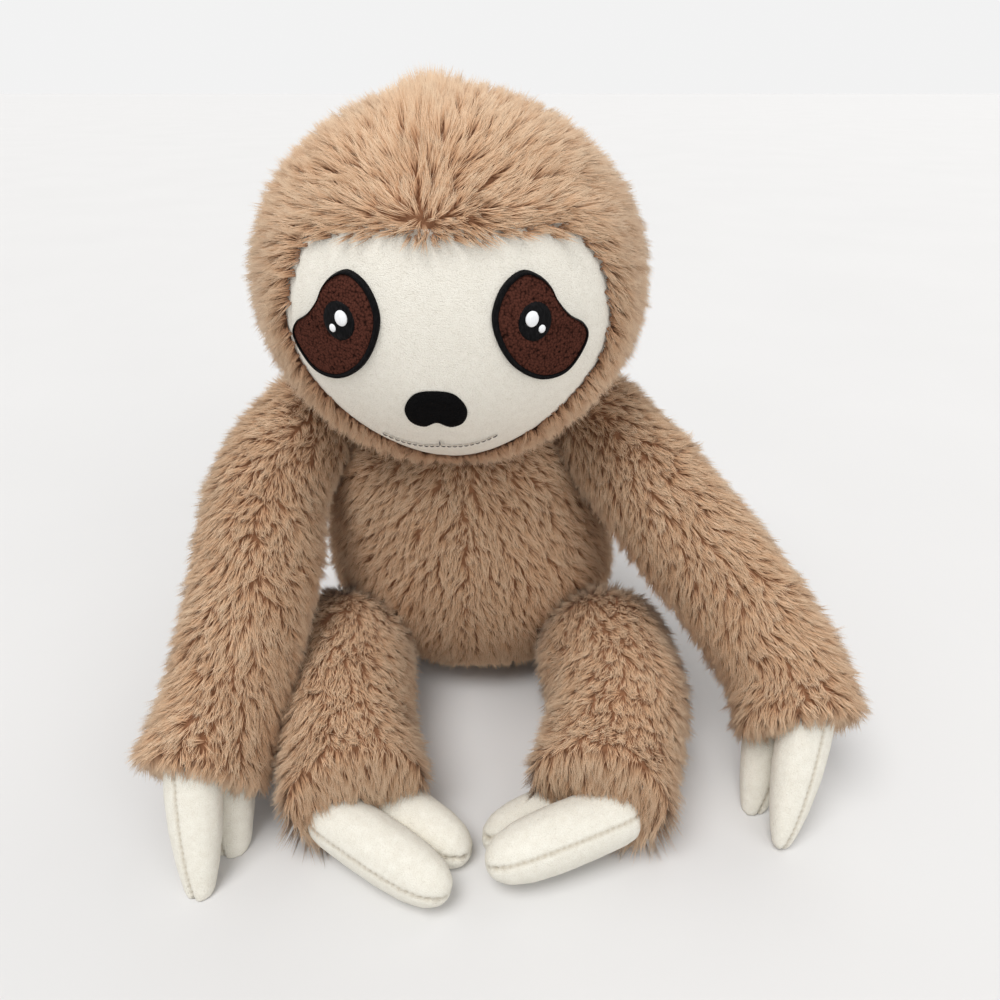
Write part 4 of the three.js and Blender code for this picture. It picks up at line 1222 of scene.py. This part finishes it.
@dataclass
class Muzzle:
    """The stitched nose and the smile under it."""

    nose_width: float = 28.4 * MM
    nose_height: float = 20.5 * MM
    nose_rise: float = 2.1 * MM
    mouth_width: float = 56 * MM
    mouth_sag: float = 6.5 * MM
    mouth_below_nose: float = 25.5 * MM
    stitch_rise: float = 4.5 * MM
    thread_radius: float = 0.4 * MM
    stitch_length: float = 3.1 * MM
    edge_shares: tuple[tuple[float, float], ...] = (
        (0, 0.52), (0.32, 0.42), (0.5, 0), (0.42, -0.38), (0.22, -0.5), (0, -0.36), (-0.22, -0.5),
        (-0.42, -0.38), (-0.5, 0), (-0.32, 0.42))

    def centre(self) -> Vector:
        """The nose's middle, in X and Z."""
        head = HEAD.form.centre
        return Vector((head.x + FACE.muzzle_shift, 0, head.z - FACE.nose_below_middle))

    def nose(self) -> bmesh.types.BMesh:
        """The nose: a bean with a satin-stitched edge round a flatter middle."""
        middle = self.centre()
        corners = [middle + Vector((wide * self.nose_width, 0, high * self.nose_height))
                   for wide, high in self.edge_shares]
        outline = smooth_path(corners, 26, closed=True)

        def height(inward: float, flat: Vector) -> float:
            turn = math.atan2(flat.z - middle.z, flat.x - middle.x)
            rim = math.sin(math.pi * min(inward / 0.45, 1.0) / 2)
            threads = 0.1 * MM * math.sin(turn * 64) * (inward < 0.4)
            dip = -0.5 * MM * rise(np.array([inward]), 0.3, 0.6)[0]
            return 0.1 * MM + self.nose_rise * rim + threads + dip

        return FACE.patch(outline, 22, height, 0.8 * MM)

    def mouth_lines(self) -> list[list[Vector]]:
        """The flat paths of the smile's two halves and of the upright stitch between them."""
        foot = self.centre() - Vector((0, 0, self.mouth_below_nose))
        lines = []
        for side in (-1, 1):
            start = foot + Vector((side * self.mouth_width / 2, 0, self.mouth_sag))
            bend = foot + Vector((side * self.mouth_width / 4, 0, -self.mouth_sag / 2))
            shares = [step / 40 for step in range(41)]
            lines.append([start * (1 - s) ** 2 + bend * 2 * s * (1 - s) + foot * s * s for s in shares])
        lines.append([foot + Vector((0, 0, self.stitch_rise * step / 6)) for step in range(7)])
        return lines

    def mouth(self) -> bmesh.types.BMesh:
        """The smile: short stitches of thread that dip into the plush at their ends."""
        shape = bmesh.new()
        for line in self.mouth_lines():
            length = sum((b - a).length for a, b in zip(line, line[1:]))
            count = max(1, round(length / self.stitch_length))
            for number in range(count):
                first, last = (number + 0.06) / count, (number + 0.94) / count
                self.stitch(shape, line, first, last)
        return shape

    def stitch(self, shape: bmesh.types.BMesh, line: list[Vector], first: float, last: float) -> None:
        """Adds one stitch between two shares of a line."""
        def on_line(share: float) -> Vector:
            place = share * (len(line) - 1)
            low = min(int(place), len(line) - 2)
            return line[low].lerp(line[low + 1], place - low)

        made = bmesh.ops.create_uvsphere(shape, u_segments=8, v_segments=12, radius=1)
        for vert in made["verts"]:
            share = math.acos(max(-1.0, min(1.0, vert.co.z))) / math.pi
            girth = self.thread_radius * max(math.hypot(vert.co.x, vert.co.y), 1e-6) ** -0.5
            flat = on_line(first + (last - first) * share)
            ahead = on_line(min(first + (last - first) * share + 0.01, 1.0)) - on_line(
                max(first + (last - first) * share - 0.01, 0.0))
            across = Vector((-ahead.z, 0, ahead.x)).normalized()
            place = flat + across * vert.co.x * girth
            lift = 0.15 * MM + 0.6 * MM * math.sin(math.pi * share) + vert.co.y * girth
            vert.co = FACE.point(place.x, place.z, lift)

    def build(self) -> None:
        """Makes the nose and the mouth."""
        place_piece("nose_sewn", mesh_of(self.nose(), "nose"), Slot.BLACK, "head", ["nose"], other="nose")
        smile = self.mouth()
        bmesh.ops.recalc_face_normals(smile, faces=smile.faces)
        place_piece("mouth_sewn", mesh_of(smile, "mouth"), Slot.GREY, "head", ["mouth_thread"])


@dataclass
class Limb:
    """An arm or a leg: two fur panels about a bent route, and the two digits in its cuff."""

    body: str
    digits_body: str
    panels: tuple[str, str]
    digits: tuple[str, str]
    joint_name: str
    digits_joint: str
    side: float
    route_shares: tuple[tuple[float, float, float], ...]
    route_reach: float
    start_radius: float
    end_radius: float
    cuff_flare: float
    spacing: float = 1.8 * MM
    under_spacing: float = 2.2 * MM
    skin_inset: float = 2 * MM
    cloth: float = 1.1 * MM
    reach: float = 11.5 * MM
    heel_growth: float = 0.0
    inner_fullness: float = 0.0
    cap_bulge: float = 4 * MM
    lowest: float = 5 * MM
    hidden_depth: float = 16 * MM
    digit_depth: float = 1.5 * MM
    seed: int = 0
    split_up: bool = False

    def __post_init__(self) -> None:
        """Works out the route from the shoulder or hip to the cuff."""
        self.pivot = Vector(joint(self.joint_name)["pos_m"])
        places = [self.pivot + Vector((self.side * outward, -forward, -down)) * self.route_reach
                  for outward, forward, down in self.route_shares]
        self.route = smooth_path(places, 24)
        gaps = [(b - a).length for a, b in zip(self.route, self.route[1:])]
        self.marks = [0.0]
        for gap in gaps:
            self.marks.append(self.marks[-1] + gap)
        self.length = self.marks[-1]

    def station(self, distance: float) -> tuple[Vector, Vector]:
        """The place and the way at a distance along the route, straight on past its ends."""
        if distance <= 0:
            way = (self.route[1] - self.route[0]).normalized()
            return self.route[0] + way * distance, way
        if distance >= self.length:
            way = (self.route[-1] - self.route[-2]).normalized()
            return self.route[-1] + way * (distance - self.length), way
        index = int(np.searchsorted(self.marks, distance)) - 1
        index = min(max(index, 0), len(self.route) - 2)
        share = (distance - self.marks[index]) / (self.marks[index + 1] - self.marks[index])
        before = self.route[max(index - 1, 0)]
        after = self.route[min(index + 2, len(self.route) - 1)]
        return self.route[index].lerp(self.route[index + 1], share), (after - before).normalized()

    def radius_at(self, distance: float) -> float:
        """The limb's radius at a distance along its route."""
        if distance < 0:
            return math.sqrt(max(self.start_radius ** 2 - distance ** 2, 0.0))
        share = min(distance / self.length, 1.0)
        smooth = share * share * (3 - 2 * share)
        flare = self.cuff_flare * max(0.0, (share - 0.8) / 0.2) ** 2
        return self.start_radius + (self.end_radius - self.start_radius) * smooth + flare

    def skin(self, inset: float, sides: int, step: float) -> bmesh.types.BMesh:
        """Its skin: a straight sleeve with a round end, turned from a profile, then bent to the route.

        Args:
            inset: How much smaller it is all round.
            sides: The sides of each ring.
            step: The space between rings.

        Returns:
            The skin, closed over the cuff.
        """
        radius = self.start_radius - inset
        domes = 10
        profile = [Vector((radius * math.sin(math.pi * k / (2 * domes)), 0,
                           -radius * math.cos(math.pi * k / (2 * domes)))) for k in range(domes)]
        straight = self.length - inset
        count = max(4, round(straight / step))
        profile += [Vector((self.radius_at(straight * k / count) - inset, 0, straight * k / count))
                    for k in range(count + 1)]
        cuff = profile[-1].x
        rings = max(3, round(cuff / step))
        turns = [math.pi * k / (2 * rings) for k in range(1, rings + 1)]
        profile += [Vector((cuff * math.cos(turn), 0, straight + self.cap_bulge * math.sin(turn)))
                    for turn in turns]
        shape = turned(profile, sides, 1e-5)
        for vert in shape.verts:
            place, way = self.station(vert.co.z)
            along = way.cross(Z_WAY).normalized()
            across = way.cross(along).normalized()
            middle_share = math.exp(-((vert.co.z / self.length - 0.42) / 0.25) ** 2)
            offset = along * vert.co.x + across * vert.co.y
            inward = max(-offset.x * self.side, 0.0) / max(offset.length, 1e-6)
            vert.co = place + offset * (1 + self.inner_fullness * inward * middle_share)
        bmesh.ops.recalc_face_normals(shape, faces=shape.faces)
        middle = self.station(self.length * 0.5)[0]
        outward = sum(face.normal.dot(face.calc_center_median() - middle) for face in shape.faces)
        if outward < 0:
            bmesh.ops.reverse_faces(shape, faces=shape.faces)
        for vert in shape.verts:
            vert.co.z = max(vert.co.z, self.lowest)
        return shape

    def lay(self, places: np.ndarray, normals: np.ndarray) -> Lay:
        """How its pile lies: combed along the limb to the cuff, and a little down."""
        stations = np.linspace(0, self.length, 60)
        spots = [self.station(distance) for distance in stations]
        middles = np.array([spot[0] for spot in spots])
        tangents = np.array([spot[1] for spot in spots])
        near = np.linalg.norm(places[:, None] - middles[None], axis=2).argmin(axis=1)
        share = near / (len(stations) - 1)
        ways = tangents[near] + np.array([0, 0, -0.35])
        under = rise(-normals[:, 2], 0.5, 0.95) * (places[:, 2] < 14 * MM)
        top = rise(normals[:, 2], 0.4, 0.9) * self.split_up
        lift = 38.0 - 16 * under - 12 * top + 2 * rise(share, 0.85, 1.0)
        combed = leaning(along_skin(ways, normals), normals, lift)
        outer = rise((places[:, 0] - middles[near][:, 0]) * self.side, -5 * MM, 15 * MM)
        heel = rise(share, 0.75, 1.0) * rise(-places[:, 2], -40 * MM, -15 * MM) * outer
        reach = self.reach * (1 + self.heel_growth * heel) * (1 - 0.35 * under * (1 - heel))
        hidden = (TORSO.depth(places) > self.hidden_depth) | (HEAD.form.depth(places) > HIDDEN_DEPTH)
        on_cap = (share > 0.85) & (np.sum(normals * tangents[near], axis=1) > 0.5)
        hidden |= self.in_digits(places, on_cap)
        return Lay(combed, reach, np.where(hidden, 0.0, 1.0))

    def in_digits(self, places: np.ndarray, near: np.ndarray) -> np.ndarray:
        """Which of the places near the cuff lie inside a digit."""
        found = np.zeros(len(places), dtype=bool)
        for name in self.digits:
            for index in np.nonzero(near)[0]:
                place = Vector(places[index])
                hit, spot, normal, _ = frame["nodes"][name].closest_point_on_mesh(place)
                found[index] |= hit and (place - spot).dot(normal) < -self.digit_depth
        return found

    def build(self) -> None:
        """Makes the two panels and the two digits."""
        chord = self.route[-1] - self.pivot
        normal = Z_WAY if self.split_up else Z_WAY.cross(chord).normalized() * self.side
        for number, (name, way) in enumerate(zip(self.panels, (normal, -normal))):
            cloth = self.skin(self.skin_inset, 28, 7 * MM)
            seeds = self.skin(self.skin_inset, 90, 2 * MM)
            for shape in (cloth, seeds):
                Seam(self.pivot, way).cut(shape)
            solid_shell(cloth, self.cloth)
            spacing = self.under_spacing if self.split_up and number else self.spacing
            mesh = PILE.grow(name, cloth, seeds, self.lay, spacing, 60 + 10 * self.seed + number)
            place_piece(f"{name}_pile", mesh, Slot.FUR, self.body, [name])
        for name in self.digits:
            bend = joint(self.digits_joint)
            plump = (2.0 if self.split_up else 1.0) * MM
            Digit(name, self.digits_body, Vector(bend["axis"]), Vector(bend["pos_m"]), plump=plump).build()


@dataclass
class Digit:
    """A stuffed claw or toe: its solid rounded off, with a sewn seam along the middle."""

    name: str
    body: str
    row: Vector
    cuff: Vector
    voxel: float = 1.25 * MM
    plump: float = 1.0 * MM
    root_slimness: float = 0.45
    seam_depth: float = 0.9 * MM
    seam_width: float = 0.9 * MM
    pucker_pitch: float = 3.2 * MM

    def build(self) -> None:
        """Makes the digit."""
        mesh = rounded_copy(self.name, self.voxel, 14)
        places, normals = rows_of(mesh.vertices, "co"), rows_of(mesh.vertices, "normal")
        middle = places.mean(axis=0)
        way = np.linalg.svd(places - middle, full_matrices=False)[2][0]
        breadth = np.cross(way, np.array(self.row))
        breadth /= np.linalg.norm(breadth)
        aside = (places - middle) @ breadth
        ahead = (places - middle) @ way
        facing = normals @ np.array(self.row)
        front = rise(facing, 0.0, 0.3) + rise(-facing, 0.0, 0.3)
        pucker = 1 + 0.35 * np.cos(2 * math.pi * ahead / self.pucker_pitch)
        fold_and_shade = np.exp(-(aside / self.seam_width) ** 2) * pucker * np.clip(front, 0, 1)
        tip = rise(np.abs(ahead), 0.72 * np.abs(ahead).max(), 0.98 * np.abs(ahead).max())
        groove = self.seam_depth * fold_and_shade * (1 + 1.4 * tip)
        # the same mask darkens the velour: painted shade in the seam groove
        mesh.attributes.new("fold_and_shade", "FLOAT", "POINT").data.foreach_set(
            "value", np.clip(fold_and_shade * 0.8, 0, 1).astype(np.float32))
        places = places + normals * (self.plump - groove[:, None])
        outward = middle - np.array(self.cuff)
        outward /= np.linalg.norm(outward)
        behind = -(places - np.array(self.cuff)) @ outward
        radial = (places - middle) - ((places - middle) @ way)[:, None] * way
        places -= radial * (self.root_slimness * rise(behind, -3 * MM, 5 * MM))[:, None]
        places[:, 2] = np.maximum(places[:, 2], 0.3 * MM)
        mesh.vertices.foreach_set("co", places.ravel())
        mesh.update()
        place_piece(f"{self.name}_velour", mesh, Slot.CLAW, self.body, [self.name])


def rounded_copy(node: str, voxel: float, passes: int) -> bpy.types.Mesh:
    """A copy of a solid with its facets rounded off.

    Args:
        node: The solid's node.
        voxel: The size of the remesh's cells.
        passes: The passes of smoothing.

    Returns:
        The copy's mesh.
    """
    shape = bmesh.new()
    shape.from_mesh(frame["nodes"][node].data)
    bmesh.ops.remove_doubles(shape, verts=shape.verts, dist=1e-6)
    helper = add_object("helper", mesh_of(shape, "helper"))
    remesh = helper.modifiers.new("remesh", "REMESH")
    remesh.mode = "VOXEL"
    remesh.voxel_size = voxel
    smooth = helper.modifiers.new("smooth", "SMOOTH")
    smooth.factor = 0.5
    smooth.iterations = passes
    mesh = evaluated_mesh(helper)
    bpy.data.objects.remove(helper)
    mesh.name = node
    mesh.shade_smooth()
    return mesh


@dataclass
class Insides:
    """What the covers hold: the stuffing of each part, the pads at the joints, and the bean pouch."""

    voxel: float = 4 * MM
    slimming: float = 2.2 * MM

    def build(self) -> None:
        """Makes the inner pieces."""
        inner = [(node, body) for body, nodes in frame["record"]["behaviour"]["bodies"].items()
                 for node in nodes if node.endswith(("_filling", "_stuffing"))]
        for node, body in inner:
            fine = self.voxel if node.endswith("_filling") else self.voxel / 3
            mesh = rounded_copy(node, fine, 4)
            if node.endswith("_filling"):
                self.slim(mesh)
                place_piece(f"{node}_fibre", mesh, Slot.STUFFING, body, [node])
            else:
                place_piece(f"{node}_cover", mesh, Slot.FUR, body, [node], other="backing")
        pouch = rounded_copy("seat_bean_pouch", self.voxel, 4)
        place_piece("seat_bean_pouch_cloth", pouch, Slot.CLOTH, "torso", ["seat_bean_pouch"])

    def slim(self, mesh: bpy.types.Mesh) -> None:
        """Draws a filling in a little, so that it stays under the rounded ends of its cover."""
        places, normals = rows_of(mesh.vertices, "co"), rows_of(mesh.vertices, "normal")
        mesh.vertices.foreach_set("co", (places - normals * self.slimming).ravel())
        mesh.update()


TORSO = Torso()
HEAD = Head()
FACE = Face()

ARM_ROUTES = {
    "left": ((0, 0, 0), (0.13, 0.14, 0.1), (0.35, 0.34, 0.32), (0.48, 0.52, 0.49), (0.5, 0.64, 0.57)),
    "right": ((0, 0, 0), (0.09, 0.16, 0.1), (0.12, 0.41, 0.32), (0.15, 0.63, 0.51), (0.18, 0.78, 0.6)),
}
LEG_ROUTES = {
    "left": ((0, 0, 0), (0.02, 0.45, 0.02), (-0.14, 1, 0.05)),
    "right": ((0, 0, 0), (-0.08, 0.5, 0.02), (-0.22, 1, 0.05)),
}


def limbs() -> list[Limb]:
    """The two arms and the two legs."""
    made = []
    for number, (name, side) in enumerate(SIDES.items()):
        made.append(Limb(
            f"{name}_arm", f"{name}_hand", (f"{name}_arm_outer", f"{name}_arm_inner"),
            (f"{name}_front_claw", f"{name}_rear_claw"), f"{name}_arm_spread", f"{name}_hand_bend",
            side, ARM_ROUTES[name], 195 * MM, 30 * MM, 30 * MM, 1.5 * MM, inner_fullness=0.16, seed=number))
        made.append(Limb(
            f"{name}_leg", f"{name}_foot", (f"{name}_leg_upper", f"{name}_leg_under"),
            (f"{name}_front_toe", f"{name}_rear_toe"), f"{name}_leg_lift", f"{name}_foot_bend",
            side, LEG_ROUTES[name], 98 * MM, 38 * MM, 34 * MM, 1.5 * MM, heel_growth=0.7, seed=2 + number,
            split_up=True))
    return made


@dataclass
class Studio:
    """The camera at the photograph's angle, soft lamps and a pale floor."""

    eye: Vector = Vector((0.027, -0.420, 0.345))
    pitch_degrees: float = 60.0
    lens: float = 27.04
    floor_half: float = 12.0
    world_light: float = 0.5
    seen_light: float = 0.9

    def build(self) -> None:
        """Makes the studio."""
        camera = add_object("camera", bpy.data.cameras.new("camera"))
        camera.data.lens = self.lens
        camera.data.sensor_width = 36.0
        camera.data.clip_start = 0.01
        camera.location = self.eye
        camera.rotation_euler = (math.radians(self.pitch_degrees), 0, 0)
        bpy.context.scene.camera = camera
        bpy.context.scene.view_settings.view_transform = "Standard"
        self.sun("key", (-0.3, -0.3, 1.0), 1.9, 35.0)
        self.sun("fill", (0.7, -0.75, 0.6), 0.65, 45.0)
        self.sun("rim", (0.4, 0.6, 0.7), 0.4, 40.0)
        world = bpy.data.worlds.new("studio")
        bpy.context.scene.world = world
        world.use_nodes = True
        wiring = Wiring(world.node_tree)
        rays = wiring.add("ShaderNodeLightPath")
        seen = wiring.math("MAXIMUM", rays.outputs["Is Camera Ray"], wiring.math(
            "MAXIMUM", rays.outputs["Is Glossy Ray"], rays.outputs["Is Transmission Ray"]))
        more = self.seen_light - self.world_light
        strength = wiring.math("ADD", self.world_light, wiring.math("MULTIPLY", seen, more))
        wiring.fill(world.node_tree.nodes["Background"], {
            "Color": (0.99, 0.99, 0.99, 1), "Strength": strength})
        self.floor()

    def sun(self, name: str, way: tuple[float, float, float], strength: float, spread: float) -> None:
        """Adds a distant soft lamp that shines from a way, with its spread in degrees."""
        light = bpy.data.lights.new(name, "SUN")
        light.energy = strength
        light.angle = math.radians(spread)
        add_object(name, light).rotation_euler = Vector(way).to_track_quat("Z", "Y").to_euler()

    def floor(self) -> None:
        """Adds the pale floor."""
        shape = bmesh.new()
        bmesh.ops.create_grid(shape, x_segments=1, y_segments=1, size=self.floor_half)
        floor = add_object("floor", mesh_of(shape, "floor"))
        material, wiring, shader = new_material("pale_floor")
        place = wiring.add("ShaderNodeTexCoord").outputs["Object"]
        cloud = wiring.out("ShaderNodeTexNoise", {"Vector": place, "Scale": 4.0, "Detail": 3.0})
        shades = ramp(wiring, cloud, [(0.3, colour(217, 216, 215)), (0.7, colour(219, 218, 217))])
        wiring.fill(shader, {"Base Color": shades, "Roughness": 0.7})
        floor.data.materials.append(material)


def main() -> None:
    """Builds the studio, then the toy, part by part."""
    logging.basicConfig(level=logging.INFO, format="%(message)s")
    Studio().build()
    WARDROBE.build()
    PILE.build()
    Insides().build()
    TORSO.build()
    HEAD.build()
    FACE.build()
    for name, side in SIDES.items():
        Eye(name, side).build()
    Muzzle().build()
    for limb in limbs():
        limb.build()


if __name__ == "__main__":
    main()
